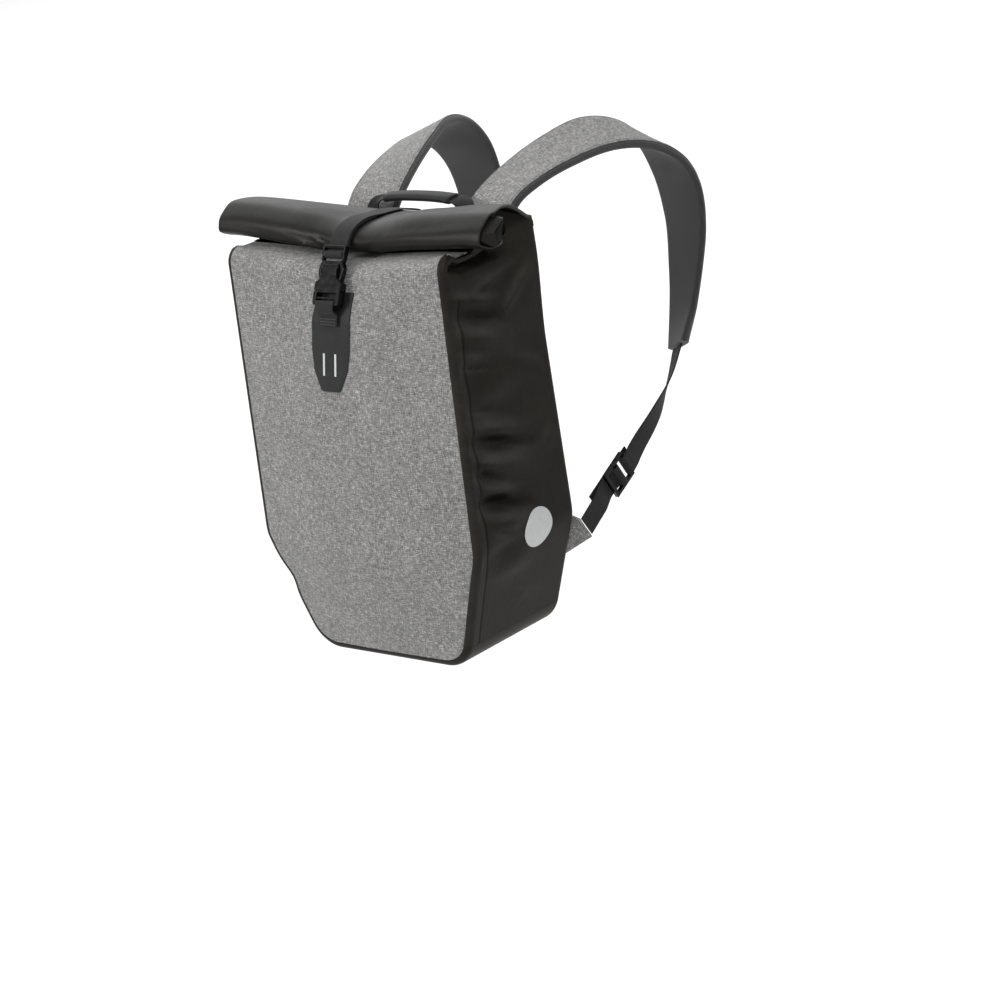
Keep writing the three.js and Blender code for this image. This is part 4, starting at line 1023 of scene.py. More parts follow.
# Fine creases of the side walls: ahead, height, half length, half width, lean, millimetres outward
SIDE_FOLDS = [
    (-104, 381, 24, 6, -0.3, 2.2),
    (-100, 361, 28, 8, -0.3, -3.8),
    (-102, 343, 22, 9, -0.3, 1.8),
    (-112, 331, 16, 5, -0.3, -1.0),
    (-116, 314, 14, 2.5, -0.3, -1.1),
    (-112, 270, 16, 5, -0.3, -1.0),
    (-98, 246, 30, 8, -0.3, 2.4),
    (-96, 230, 34, 8, -0.3, -5.0),
    (-92, 208, 28, 12, -0.3, 2.2),
    (-118, 216, 14, 5, -0.4, 1.6),
    (-120, 203, 16, 6, -0.5, -3.4),
    (-106, 184, 22, 6, -0.3, 2.2),
    (-102, 167, 30, 8, -0.3, -4.2),
    (-98, 150, 24, 9, -0.3, 1.6),
    (-112, 142, 12, 4, -0.3, -1.0),
    (-70, 60, 20, 5, -0.3, 0.8),
    (-40, 300, 30, 8, -0.5, 0.7),
    (-30, 210, 40, 9, 0.4, 0.7),
    (-46, 372, 34, 6, 0.75, 1.5),
    (-76, 392, 26, 4.5, 0.2, 1.3),
]


# The wall's other marks, in millimetres: a tuck under the collar, a crease below the roll with a
# bulge under it, and a weld line behind the front edge
FOLD_SCALE = 1.8
TUCK_DEEP = 17
CREASE_DEEP = 12.5
CREASE_HALF = 3.2
BULGE_HIGH = 2.2
BULGE_HALF = 7
BULGE_BELOW = 11
WELD_BACK = 15
WELD_DEEP = 0.6
WELD_HALF = 1.1


def side_out(y, z):
    y = np.asarray(y, float)
    depth = depth_at(z)
    share = z / FRONT_HEIGHT
    ahead = -y / depth
    to_front = 1 - ahead
    to_back = smooth(BACK_EDGE_RADIUS, BACK_EDGE_RADIUS + 12, -y)
    inside = np.minimum(to_back, smooth(0, 0.08, to_front))
    dents = dents_at(SIDE_DENTS, share, ahead)
    flare = TOP_FLARE * smooth(0.75, 1, share) * (1 - smooth(0.06, 0.5, ahead))
    tuck = TUCK_DEEP * smooth(0.98, 1.06, share) * bell((ahead - 0.33) / 0.2)
    above = z - FRONT_HEIGHT * (1.012 + 0.012 * (0.8 - ahead))
    crease = CREASE_DEEP * bell(above / CREASE_HALF)
    crease = crease * smooth(0.28, 0.5, ahead) * smooth(0.03, 0.13, to_front)
    bulge = BULGE_HIGH * bell((above + BULGE_BELOW) / BULGE_HALF)
    bulge = bulge * smooth(0.3, 0.6, ahead) * smooth(0.03, 0.3, to_front)
    weld = WELD_DEEP * bell((depth + y - WELD_BACK) / WELD_HALF) * (1 - smooth(0.94, 0.97, share))
    folds = FOLD_SCALE * folds_at(SIDE_FOLDS, y, z)
    return flare - (dents + tuck + (crease - bulge) + weld - folds) * inside


# Columns of a wall: its rounded edges, all of it, and the finer band behind the front edge
ARC_STEPS = 7
WALL_STEPS = 72
BAND_STEPS = 20
BAND_WIDE = 22


def wall_row(place, wall_point, ahead=(0, -1, 0), corner=None, steps=WALL_STEPS):
    x, z, nx, nz = place
    normal = np.array([nx, 0, nz])
    ahead = np.array(ahead, float)
    corner = np.array([x, -depth_at(z), z], float) if corner is None else np.array(corner, float)
    angles = np.linspace(0, math.pi / 2, ARC_STEPS + 1)[:, None]
    front = corner + normal * FRONT_EDGE_RADIUS * (np.sin(angles) - 1)
    front = front + ahead * FRONT_EDGE_RADIUS * (np.cos(angles) - 1)
    if steps > BAND_STEPS * 2:
        band = np.linspace(front[-1, 1], front[-1, 1] + BAND_WIDE, BAND_STEPS + 1)
        y = np.concatenate([band[:-1], np.linspace(band[-1], -BACK_EDGE_RADIUS, steps - BAND_STEPS + 1)])
    else:
        y = np.linspace(front[-1, 1], -BACK_EDGE_RADIUS, steps + 1)
    middle = wall_point(y[1:-1])
    end = wall_point(y[-1:])[0]
    back = end + normal * BACK_EDGE_RADIUS * (np.cos(angles) - 1)
    back[:, 1] = -BACK_EDGE_RADIUS * (1 - np.sin(angles[:, 0]))
    return np.vstack([front, middle, back])


def side_grid(side):
    rows = []
    for i, place in enumerate(SIDE_ROWS):
        start = SEAM_GAP / 2 if i == 0 else 0
        half = outline_half(place, side, 0)
        moved = np.array([half - place[3] * start, place[1] + place[2] * start, place[2], place[3]])

        def wall(y, moved=moved):
            out = side_out(y, moved[1])
            return np.stack([moved[0] + moved[2] * out, y, moved[1] + moved[3] * out], axis=1)

        rows.append(wall_row(moved, wall))
    for share in np.linspace(0, 1, 13)[1:]:
        angle = share * math.pi / 2
        up, back = math.sin(angle), 1 - math.cos(angle)
        corner = (BAG_HALF_WIDTH, -TOP_DEPTH + FRONT_BEND * back, FRONT_HEIGHT + FRONT_BEND * up)

        def wall(y, up=up):
            z = lerp(FRONT_HEIGHT, side_top_at(y), up)
            return np.stack([BAG_HALF_WIDTH + side_out(y, z), y, z], axis=1)

        ahead = (0, -math.cos(angle), math.sin(angle))
        rows.append(wall_row((BAG_HALF_WIDTH, FRONT_HEIGHT, 1, 0), wall, ahead, corner))
    grid = np.array(rows)
    grid[:, :, 0] *= side
    grid = raise_corners(grid)
    return grid if side > 0 else grid[:, ::-1]


def base_grid():
    corner = CORNER_ROWS.copy()
    corner[-1, 0] += corner[-1, 3] * SEAM_GAP / 2
    corner[-1, 1] -= corner[-1, 2] * SEAM_GAP / 2
    mirror = corner[::-1] * [-1, 1, -1, 1]
    flat = [np.array([x, 0, 0, -1.0]) for x in np.linspace(-corner[0, 0], corner[0, 0], 30)[1:-1]]
    rows = []
    for place in [*mirror, *flat, *corner]:

        def wall(y, place=place):
            return np.stack([np.full_like(y, place[0]), y, np.full_like(y, place[1])], axis=1)

        rows.append(wall_row(place, wall, steps=30))
    return np.array(rows)


def back_grid():
    inset = BACK_EDGE_RADIUS + PANEL_GAP
    top = np.array([BAG_HALF_WIDTH, BACK_HEIGHT, 1.0, 0.0])
    rows = []
    for place in np.vstack([CORNER_ROWS, SIDE_ROWS[1:], top]):
        out = float(side_out(-BACK_EDGE_RADIUS, place[1]))
        left = -(outline_half(place, -1, inset) + place[2] * out)
        right = outline_half(place, 1, inset) + place[2] * out
        z = min(place[1] - place[3] * inset, BACK_HEIGHT)
        x = np.linspace(right, left, 61)
        rows.append(np.stack([x, np.zeros_like(x), np.full_like(x, z)], axis=1))
    return np.array(rows)


# Columns of the roll, from its right end to its left; those under the strap are closer
ROLL_COLUMNS = np.concatenate(
    [np.linspace(1, 0.12, 52), np.linspace(0.12, -0.12, 14)[1:-1], np.linspace(-0.12, -1, 52)]
)

# How far the collar and its roll reach to one side, and how the cloth's edge is turned over there
ROLL_REACH = {1: 189, -1: 170}
ROLL_INNER = {1: 152, -1: 148}
ROLL_LIFT = {1: 2.6, -1: 4.2}
LIP_ANGLES = np.radians([22, 45, 68, 90])
FOLD_LIP = 8.8
ROLL_LIP = 2.0
LIP_BEND = 0.62


def turns_at(t):
    return ROLL_TURNS * (t - SLOPE_SHARE) / (1 - SLOPE_SHARE)


def roll_reach(t, side):
    back = BAG_HALF_WIDTH + TOP_FLARE - BACK_EDGE_RADIUS - 2 * SEAM_GAP
    if t < FOLD_SHARE:
        return back
    if t < SLOPE_SHARE:
        return lerp(back, ROLL_REACH[side], (t - FOLD_SHARE) / (SLOPE_SHARE - FOLD_SHARE))
    return lerp(ROLL_REACH[side], ROLL_INNER[side], float(smooth(0.48, 0.8, turns_at(t))))


def end_lift(x):
    x = np.asarray(x, float)
    return ROLL_LIFT[1] * smooth(110, 185, x) + ROLL_LIFT[-1] * smooth(80, 165, -x)


def lip_radius(t):
    return lerp(FOLD_LIP, ROLL_LIP, float(smooth(FOLD_SHARE, SLOPE_SHARE, t)))


# The roll's section has flat faces with soft edges: ahead and up, the way that each face looks,
# divided by how far off it lies as a share of an ellipse
ROLL_FACES = np.array(
    [
        (-0.804, 0.783),
        (0, 0.98),
        (-1.03, 0.19),
        (-0.645, -0.71),
        (0, -1),
        (0.75, -0.625),
        (1, 0),
        (0.75, 0.625),
    ]
)
# The higher this is, the harder the edges between the faces
ROLL_EDGE = 14


def faceted(ahead, up):
    ways = np.stack([np.asarray(ahead, float), np.asarray(up, float)], axis=-1)
    reach = np.maximum(ways @ ROLL_FACES.T, 0) ** ROLL_EDGE
    return reach.sum(axis=-1) ** (-1 / ROLL_EDGE)


# Folds of the roll's outer turn: across the bag, then along the cloth from the top of the roll,
# where one turn counts as a fixed length of cloth
TURN_LENGTH = 160
ROLL_FOLDS = [
    (-36, 46, 17, 3.0, 0.9, -2.3),
    (-28, 37, 14, 3.0, 0.35, -2.0),
    (-31, 57, 14, 3.0, 1.3, 1.9),
    (-46, 52, 18, 4.0, 0.7, 1.8),
    (-58, 40, 20, 4.0, 0.25, -1.3),
    (36, 48, 16, 3.4, -0.9, -1.2),
    (48, 58, 16, 4.0, -0.5, 0.9),
    (-112, 22, 50, 9.0, 0.04, 0.9),
    (96, 26, 60, 8.0, -0.03, -1.0),
    (100, 40, 64, 7.0, -0.02, 0.9),
    (-104, 44, 50, 7.0, 0.03, -0.8),
]


def roll_grid():
    shares = np.concatenate(
        [
            [0, STAND_SHARE * 0.5],
            np.linspace(STAND_SHARE, FOLD_SHARE, 8),
            np.linspace(FOLD_SHARE, SLOPE_SHARE, 18)[1:],
            np.linspace(SLOPE_SHARE, 1, 106)[1:],
        ]
    )
    rows = []
    for t in shares:
        x = ROLL_COLUMNS * np.where(ROLL_COLUMNS > 0, roll_reach(t, 1), roll_reach(t, -1))
        y, z = collar_point(t, x)
        y0, z0 = collar_point(max(t - 0.002, 0), x)
        y1, z1 = collar_point(min(t + 0.002, 1), x)
        out = unit(np.stack([np.zeros_like(x), z1 - z0, y0 - y1], axis=1))
        turns = turns_at(t)
        line = np.stack([x, y, z], axis=1)
        if turns > 0:
            middle = np.stack([x, *roll_at(x)[:2]], axis=1)
            full = (0.6 + 0.4 * smooth(60, 150, np.abs(x))) * smooth(8, 45, off_strap(x))
            angle = math.pi / 2 + turns * 2 * math.pi
            change = float(smooth(0, 0.05, turns)) * float(faceted(math.cos(angle), math.sin(angle)) - 1)
            line[:, 1:] += (line - middle)[:, 1:] * (full * change)[:, None]
            apart = smooth(2, 12, off_strap(x)) * float(smooth(0, 0.06, turns))
            apart = apart * float(1 - smooth(0.7, 0.95, turns))
            line += out * (folds_at(ROLL_FOLDS, x, turns * TURN_LENGTH) * apart)[:, None]
        line[:, 2] += end_lift(x) * float(smooth(FOLD_SHARE, SLOPE_SHARE, t))
        radius = lip_radius(t)
        lip = []
        for index, side in ((0, 1), (-1, -1)):
            bend = LIP_BEND * radius * (1 - np.cos(LIP_ANGLES))[:, None] * out[index]
            lip.append(line[index] + np.array([side * radius, 0, 0]) * np.sin(LIP_ANGLES)[:, None] - bend)
        rows.append(np.vstack([lip[0][::-1], line, lip[1]]))
    return np.array(rows)


# The folded end of the roll: tucked cloth with one kinked crease and two more layers behind it
TUCK_MIDDLE = (-97.6, 449.2)
TUCK_HALF = (18.8, 13.6)
TUCK_FACE = {1: 189.5, -1: 169.5}
TUCK_RIM = 2.6
# Three lines across it, each as heights and the places ahead there
KINK_LINE = ([433.1, 450.8, 462.6], [-97.8, -104.4, -82.8])
SECOND_LINE = ([433.8, 461.5], [-92.4, -80.4])
LAST_LINE = ([431.6, 434.1, 457.6, 462.8], [-83.5, -80.6, -77.2, -79.1])
# How far the faces between those lines stand out
KINK_HIGH = 7.5
KINK_DROP = 13.0
KINK_RUN = 16
BETWEEN_RISE = (-8.0, 2.0)
GAP_DEEP = -15.0
LAYER_HIGH = 1.6
LAYER_WIDE = 2.2
LAYER_SLOPE = 2.0


def tuck_face(y, z):
    kink, second, last = (np.interp(z, *line) for line in (KINK_LINE, SECOND_LINE, LAST_LINE))
    front = KINK_HIGH - KINK_DROP * np.clip((kink - y) / KINK_RUN, 0, 1) ** 1.1
    between = lerp(*BETWEEN_RISE, np.clip((y - kink) / np.maximum(second - kink, 1), 0, 1))
    behind = np.where(y < last - LAYER_WIDE, GAP_DEEP, LAYER_HIGH)
    face = np.where(y < kink, front, np.where(y < second, between, behind))
    return np.where(y > last, LAYER_HIGH - LAYER_SLOPE * (y - last), face)


def tuck_grid(side):
    angles = np.linspace(0, 2 * math.pi, 161)[:-1]
    a, b = np.cos(angles), np.sin(angles)
    bulk = faceted(a, b)
    rim_y = TUCK_HALF[0] * a * bulk
    rim_z = TUCK_HALF[1] * b * bulk
    shares = np.concatenate([[1], np.linspace(0.985, 0.02, 56)])
    rows = []
    for back in (34, 22, 10, 5):
        x = np.full_like(rim_y, TUCK_FACE[1] - back)
        rows.append(np.stack([x, TUCK_MIDDLE[0] + rim_y, TUCK_MIDDLE[1] + rim_z], axis=1))
    for share in shares:
        y = TUCK_MIDDLE[0] + rim_y * share
        z = TUCK_MIDDLE[1] + rim_z * share
        rounded = TUCK_RIM * smooth(0.86, 1, share)
        rows.append(np.stack([TUCK_FACE[1] + tuck_face(y, z) - rounded, y, z], axis=1))
    grid = np.array(rows)
    grid[:, :, 0] = side * (grid[:, :, 0] - TUCK_FACE[1] + TUCK_FACE[side])
    grid[:, :, 2] += end_lift(side * TUCK_FACE[side]) - ROLL_LIFT[1]
    return grid


def tuck_object(name, side):
    grid = tuck_grid(side)
    rows, cols = grid.shape[:2]
    points = grid.reshape(-1, 3)
    faces = [tuple(q) for q in grid_faces(rows, cols, wrap=True)]
    faces.append(tuple(range(cols))[::-1])
    faces.append(tuple((rows - 1) * cols + k for k in range(cols)))
    return make_object(name, points, outward(points, faces), points[:, 1:] - points[0, 1:], sharp=34)


# Painted shade and light on the creased sides: hollows and slopes that face down are darkened, slopes that
# face up are painted paler as if lit from above; the weld line is darker and the strip ahead of it paler
def paint_crease_shade(piece):
    count = len(piece.data.vertices)
    places = np.empty(count * 3)
    piece.data.vertices.foreach_get("co", places)
    places = places.reshape(-1, 3) * 1000
    y, z = places[:, 1], places[:, 2] + GROUND
    inside = smooth(0, 0.08, 1 + y / depth_at(z)) * smooth(12, 24, -y)
    rising = folds_at(SIDE_FOLDS, y, z + 1) - folds_at(SIDE_FOLDS, y, z - 1)
    pale = np.tanh(-3 * rising) * 0.7 + np.clip(0.16 * folds_at(SIDE_FOLDS, y, z), -0.6, 0.2)
    behind_edge = depth_at(z) + y
    welded = 0.3 * (1 - smooth(WELD_BACK - 2, WELD_BACK, behind_edge)) - bell((behind_edge - WELD_BACK) / 1.6)
    below_corner = 1 - smooth(0.9, 0.96, z / FRONT_HEIGHT)
    painted_shade = piece.data.attributes.new("crease", "FLOAT", "POINT")
    painted_shade.data.foreach_set("value", np.clip(pale * inside + 0.8 * welded * below_corner, -1, 1))


front_panel = lay_cloth("front_cloth", front_grid(), CLOTH, HEATHER, "heather_cloth", "front_panel")
for side, word in SIDES:
    name, node = f"side_cloth_{word}", f"side_gusset_{word}"
    piece = lay_cloth(name, side_grid(side), CLOTH, TARPAULIN_SIDE, "black_tarpaulin", node)
    paint_crease_shade(piece)
base = lay_cloth("base_cloth", base_grid(), CLOTH, TARPAULIN_SIDE, "black_tarpaulin", "base_panel")
back = lay_cloth("back_cloth", back_grid(), BACK_CLOTH, TARPAULIN_INNER, "black_tarpaulin", "back_panel")
roll = lay_cloth("roll_cloth", roll_grid(), ROLL_CLOTH, TARPAULIN, "black_tarpaulin", "roll_top")
for side, word in SIDES:
    dress(tuck_object(f"roll_tuck_{word}", side), TARPAULIN, "black_tarpaulin")


# Points on the dressed front and right side, met by a straight look from outside
OUTSIDE = 460


def seen_from(piece, origin, way):
    start = Vector(metres(np.array(origin, float)))
    hit, place, normal, _ = piece.ray_cast(start, Vector(way))
    if not hit:
        raise ValueError(f"nothing met at {origin}")
    place = np.array(place) * 1000
    place[2] += GROUND
    return place, np.array(normal)


def front_at(x, z, off=0.0):
    place, _ = seen_from(front_panel, (x, -OUTSIDE, z), (0, 1, 0))
    return place - np.array([0, off, 0])


def right_at(y, z, off=0.0):
    place, _ = seen_from(bpy.data.objects["side_cloth_right"], (OUTSIDE, y, z), (-1, 0, 0))
    return place + np.array([off, 0, 0])


# Patch with its weld line, and the two reflective stripes
def patch_middle(z):
    return lerp(PATCH_FOOT_SIDE, PATCH_TOP_SIDE, (z - PATCH_FOOT) / (PATCH_TOP - PATCH_FOOT))


def patch_grid():
    rows = []
    for share in [0, 0.04, 0.12, 0.3, 0.5, 0.75]:
        rows.append((lerp(PATCH_FOOT, PATCH_TAPER, share), lerp(PATCH_FOOT_HALF, PATCH_TAPER_HALF, share)))
    rows[0] = (rows[0][0], rows[0][1] - 2)
    for share in np.linspace(0, 1, 50):
        wide = lerp(PATCH_TAPER_HALF, PATCH_WIDE_HALF, float(smooth(0, 0.3, share)))
        half = lerp(wide, PATCH_TOP_HALF, float(smooth(0.6, 1, share)))
        rows.append((lerp(PATCH_TAPER, PATCH_TOP, share), half))
    grid = []
    for z, half in rows:
        line = []
        for share in np.linspace(-1, 1, 30):
            rise = PATCH_GAP + PATCH_THICK
            if abs(share) > 0.9:
                rise -= 0.5
            if abs(share) < 0.62:
                rise += 0.5 * float(bell((z - LOOP_FOOT + 3.4) / 1.3))
            line.append(front_at(patch_middle(z) + half * share, z, rise))
        grid.append(line)
    return np.array(grid)


patch = lay_cloth("patch_sheet", patch_grid(), PATCH_THICK, RUBBERISED, "grey_rubber", "strap_patch")
for side, word in SIDES:
    grid = []
    for t in np.linspace(0, 1, 14):
        z = STRIPE_FOOT + t * STRIPE_LENGTH
        middle = patch_middle(z) + side * STRIPE_SPREAD
        off = PATCH_GAP + REST_GAP + PATCH_THICK + STRIPE_THICK * 0.5
        grid.append([front_at(middle + k * STRIPE_WIDTH / 2, z, off) for k in np.linspace(-1, 1, 4)])
    name, node = f"stripe_film_{word}", f"patch_stripe_{word}"
    lay_cloth(name, np.array(grid), STRIPE_THICK, REFLECTIVE, "reflective_trim", node)

# Disc on the right side
grid = []
for a in np.linspace(-1, 1, 22):
    line = []
    for b in np.linspace(-1, 1, 22):
        y = -DISC_AHEAD + DISC_RADIUS * b * math.sqrt(1 - a * a / 2)
        z = DISC_HEIGHT + DISC_RADIUS * a * math.sqrt(1 - b * b / 2)
        line.append(right_at(y, z, REST_GAP + DISC_THICK * 0.5))
    grid.append(line)
disc = lay_cloth("disc_film", np.array(grid), DISC_THICK, REFLECTIVE, "reflective_trim", "side_disc")


# Closure strap: over the roll, behind the plug's top bar, round its middle bar and back under itself
def buckle_frame():
    tilt = math.radians(BUCKLE_TILT)
    off = PATCH_THICK + PATCH_GAP + REST_GAP + WEB_THICK + SOCKET_THICK / 2 + 0.6
    centre = front_at(STRAP_SIDE, BUCKLE_FOOT, off)
    up = np.array([0, math.sin(tilt), math.cos(tilt)])
    out = np.array([0, -math.cos(tilt), math.sin(tilt)])
    return centre, up, out


BUCKLE_CENTRE, BUCKLE_UP, BUCKLE_OUT = buckle_frame()


def at_buckle(u, w, x=0.0):
    return BUCKLE_CENTRE + BUCKLE_UP * u + BUCKLE_OUT * w + np.array([x, 0, 0])


def arc_points(at, u, w, radius, start, end, count=8):
    angles = np.radians(np.linspace(start, end, count + 1))
    return [at(u + radius * math.cos(a), w + radius * math.sin(a)) for a in angles]


def bar_round(bar, thick):
    return math.hypot(bar, thick) / 2 + SEAM_GAP + WEB_THICK / 2


def over_roll(ride, start, end, count=60):
    points = []
    for t in np.linspace(start, end, count):
        y, z = collar_point(t, STRAP_SIDE)
        y0, z0 = collar_point(t - 0.004, STRAP_SIDE)
        y1, z1 = collar_point(t + 0.004, STRAP_SIDE)
        length = math.hypot(y1 - y0, z1 - z0)
        off = ride(t)
        points.append([STRAP_SIDE, y + off * (z1 - z0) / length, z - off * (y1 - y0) / length])
    return np.array(points, float)


# How high the strap rides over the roll, once and where it lies double, and where it leaves it
RIDE_LOW = REST_GAP + 0.35 + WEB_THICK / 2
RIDE_HIGH = RIDE_LOW + WEB_THICK + REST_GAP
LEAVE_TURNS = 0.16
TAIL_TURNS = 0.06
PLUG_FOOT = SOCKET_LENGTH + FIT_GAP
MID_BAR = (PLUG_FRAME - BAR_THICK) / 2


def share_of(turns):
    return SLOPE_SHARE + turns / ROLL_TURNS * (1 - SLOPE_SHARE)


def strap_points():
    bar = PLUG_FOOT + MID_BAR + BAR_THICK / 2
    around = bar_round(BAR_THICK, BAR_THICK)
    top = PLUG_FOOT + PLUG_FRAME
    behind = BAR_THICK / 2 + SEAM_GAP + WEB_THICK / 2 + 0.6
    under = behind + RIDE_HIGH - RIDE_LOW

    def ride(t):
        return lerp(RIDE_LOW, RIDE_HIGH, float(smooth(SLOPE_SHARE - 0.05, share_of(0), t)))

    return np.vstack(
        [
            over_roll(ride, 0.07, share_of(LEAVE_TURNS)),
            at_buckle(top + 3, -behind),
            at_buckle(top - BAR_THICK, -behind),
            at_buckle(bar + around + 1.2, -behind * 0.6),
            *arc_points(at_buckle, bar, 0, around, 0, 180),
            at_buckle(bar - around * 0.9, -behind * 0.7),
            at_buckle(bar - 0.6, -under * 0.93),
            at_buckle(bar + 3, -under - 0.2),
            at_buckle(top - 3, -under - 0.2),
            at_buckle(top + 3, -under),
            over_roll(lambda t: RIDE_LOW, share_of(-TAIL_TURNS), share_of(LEAVE_TURNS), 12)[::-1],
        ]
    )


WEB_RING = flat_ring(WEB_WIDTH, WEB_THICK, 26)
strap = sweep_object("strap_web", even_line(strap_points(), 1.6), (1, 0, 0), WEB_RING)
dress(strap, WEBBING, "black_webbing", "closure_strap")


def loop_points():
    off = PATCH_THICK + PATCH_GAP + SEAM_GAP + WEB_THICK / 2
    layer = WEB_THICK + REST_GAP
    around = SOCKET_FRAME_THICK / 2 + SEAM_GAP + WEB_THICK / 2
    return np.array(
        [
            front_at(STRAP_SIDE, LOOP_FOOT, off + layer),
            front_at(STRAP_SIDE, LOOP_FOOT + 6, off + layer),
            front_at(STRAP_SIDE, LOOP_FOOT + 11, off + layer + 0.6),
            at_buckle(-5, around * 0.8),
            at_buckle(-1, around),
            at_buckle(BAR_THICK + 0.2, around),
            at_buckle(BAR_THICK + 1, around * 0.7),
            at_buckle(BAR_THICK + 1.4, 0),
            at_buckle(BAR_THICK + 1, -around * 0.7),
            at_buckle(BAR_THICK + 0.2, -around),
            at_buckle(-1, -around),
        ]
    )


loop = sweep_object("loop_web", even_line(loop_points(), 0.9), (1, 0, 0), WEB_RING)
dress(loop, WEBBING, "black_webbing", "buckle_loop")


def stitch_row(piece, z, half):
    line = []
    normals = []
    for x in np.linspace(-half, half, 9):
        place, normal = seen_from(piece, (STRAP_SIDE + x, -OUTSIDE, z), (0, 1, 0))
        line.append(place)
        normals.append(normal)
    return np.array(line), np.array(normals)


loop_rows = [stitch_row(loop, LOOP_FOOT + rise, 10.6) for rise in (1.8, 4.6, 7.4)]
sew("loop_stitches", loop_rows, 2.6, 1.9, 0.3, 0.12)


# Shoulder straps: made for the right side and mirrored
def mirror(points, side):
    return np.asarray(points, float) * [side, 1, 1]


PAD_SEAT = WEB_THICK + 3 * REST_GAP + COVER_THICK + SEAM_GAP + PAD_THICK / 2
SHOULDER_HEIGHT = BACK_HEIGHT + STRAP_RISE


def pad_rows(side):
    rows = np.array(PAD_ROWS)
    points = np.stack(
        [
            lerp(STRAP_ROOT_SIDE, STRAP_SHOULDER_SIDE, rows[:, 0]),
            PAD_SEAT + rows[:, 1] * STRAP_REACH,
            lerp(PAD_END_HEIGHT, SHOULDER_HEIGHT, rows[:, 2]),
        ],
        axis=1,
    )
    return mirror(points, side), mirror(rows[:, 3:], side)


PAD_STEPS = 170
PAD_COLUMNS = 22
PAD_NARROWS = 0.62
PAD_CORNER = 3.2
COVER_CORNER = 1.6


def pad_line(side):
    points, ways = pad_rows(side)
    t = np.linspace(0, 1, PAD_STEPS)
    return spline(points, t), unit(spline(ways, t)), t


def pad_width(t):
    return lerp(PAD_WIDTH, PAD_END_WIDTH, smooth(PAD_NARROWS, 1, t))


# The ring of a pad or its cover, flat with soft edges
def soft_ring(width, low, high, corner):
    x = np.linspace(-1, 1, PAD_COLUMNS)
    x = np.sign(x) * (1 - (1 - np.abs(x)) ** 1.4)
    near = np.clip(width / 2 * (1 - np.abs(x)) / corner, 0, 1)
    roundness = np.sqrt(np.clip(1 - (1 - near) ** 2, 0, 1))
    middle = (high + low) / 2
    half = (high - low) / 2
    z = half * np.maximum(roundness, 0.1)
    top = np.stack([x * width / 2, middle + z], axis=1)
    under = np.stack([x[::-1] * width / 2, middle - z[::-1]], axis=1)
    return np.vstack([top, under])


def pad_rings(t, side, margin, low, high, corner):
    return [soft_ring(width - 2 * margin, low, high, corner) * [1, side] for width in pad_width(t)]


for side, word in SIDES:
    line, ways, t = pad_line(side)
    half = PAD_THICK / 2
    rings = pad_rings(t, side, 0, -half, half, PAD_CORNER)
    pad = sweep_object(f"pad_foam_{word}", line, ways, rings)
    dress(pad, SPACER, "black_padding", f"shoulder_pad_{word}")
    low = half + SEAM_GAP * 0.4
    way, up = across_and_up(line, ways)
    up = up * side
    seams = []
    for edge in (-1, 1):
        off = pad_width(t) / 2 - COVER_MARGIN - 2.4
        seams.append((line + way * (edge * off)[:, None] + up * (low + COVER_THICK - 0.05), up))
    for at in (3, 6, -4, -7):
        off = (pad_width(t[at]) / 2 - COVER_MARGIN - 3) * np.linspace(-1, 1, 9)
        seams.append((line[at] + way[at] * off[:, None] + up[at] * (low + COVER_THICK - 0.02), up[at]))
    sew(f"pad_stitches_{word}", seams, 3.6, 2.5, 0.3, 0.1)
    rings = pad_rings(t, side, COVER_MARGIN, low, low + COVER_THICK, COVER_CORNER)
    cover = sweep_object(f"pad_cover_{word}", line, ways, rings)
    dress(cover, HEATHER_STRAP, "heather_cloth", f"shoulder_cover_{word}")


def wing_places(side):
    rows = np.vstack([CORNER_ROWS, SIDE_ROWS])

    def edge(z):
        at = rows[np.argmax(rows[:, 1] >= z)]
        return at[0] - at[2] * (BACK_EDGE_RADIUS + SEAM_GAP + 6)

    seat = REST_GAP + WING_THICK / 2
    top = np.array([edge(WING_TOP_HEIGHT), seat, WING_TOP_HEIGHT])
    foot = np.array([edge(WING_FOOT_HEIGHT), seat, WING_FOOT_HEIGHT])
    tip_height = lerp(WING_FOOT_HEIGHT, WING_TOP_HEIGHT, 0.62)
    tip = np.array([BAG_HALF_WIDTH - 2, seat + WING_LENGTH * 0.55, tip_height])
    return mirror(top, side), mirror(foot, side), mirror(tip, side)


def web_rows(side):
    start = pad_rows(1)[0][-1]
    end = wing_places(1)[2]
    way = end - start
    length = np.linalg.norm(way)
    rows = np.array(WEB_ROWS, float)
    bow = np.stack([rows[:, 1] * length, 0 * rows[:, 0], rows[:, 2] * length], axis=1)
    points = start + way * rows[:, :1] + bow
    return mirror(points, side), mirror(rows[:, 3:], side)


class Lock:
    """The adjuster's frame on the webbing: u along it to the pad, w off its outer face."""

    def __init__(self, side):
        self.side = side
        self.points, self.ways = web_rows(1)
        fine = spline(self.points, np.linspace(0, 1, 400))
        self.length = run_length(fine)[-1]
        self.share = 1 - LOCK_SHARE
        ends = spline(self.points, np.array([self.share - 1e-4, self.share + 1e-4]))
        self.up = unit(ends[0] - ends[1])
        across = unit(spline(self.ways, np.array([self.share]))[0])
        self.across = unit(across - self.up * np.dot(across, self.up))
        self.out = unit(np.cross(self.up, self.across))
        if self.out[0] < 0:
            self.out = -self.out
        self.centre = spline(self.points, np.array([self.share]))[0]

    def at(self, u, w):
        return mirror(self.centre + self.up * u + self.out * w, self.side)

    def on_line(self, t):
        return mirror(spline(self.points, t), self.side)

    def way_at(self, t):
        return mirror(unit(spline(self.ways, t)), self.side)


LOCK_ROUND = bar_round(LOCK_BAR, LOCK_THICK)
LOCK_HALF = LOCK_LENGTH / 2
LOCK_REACH = LOCK_THICK / 2 + SEAM_GAP + WEB_THICK / 2


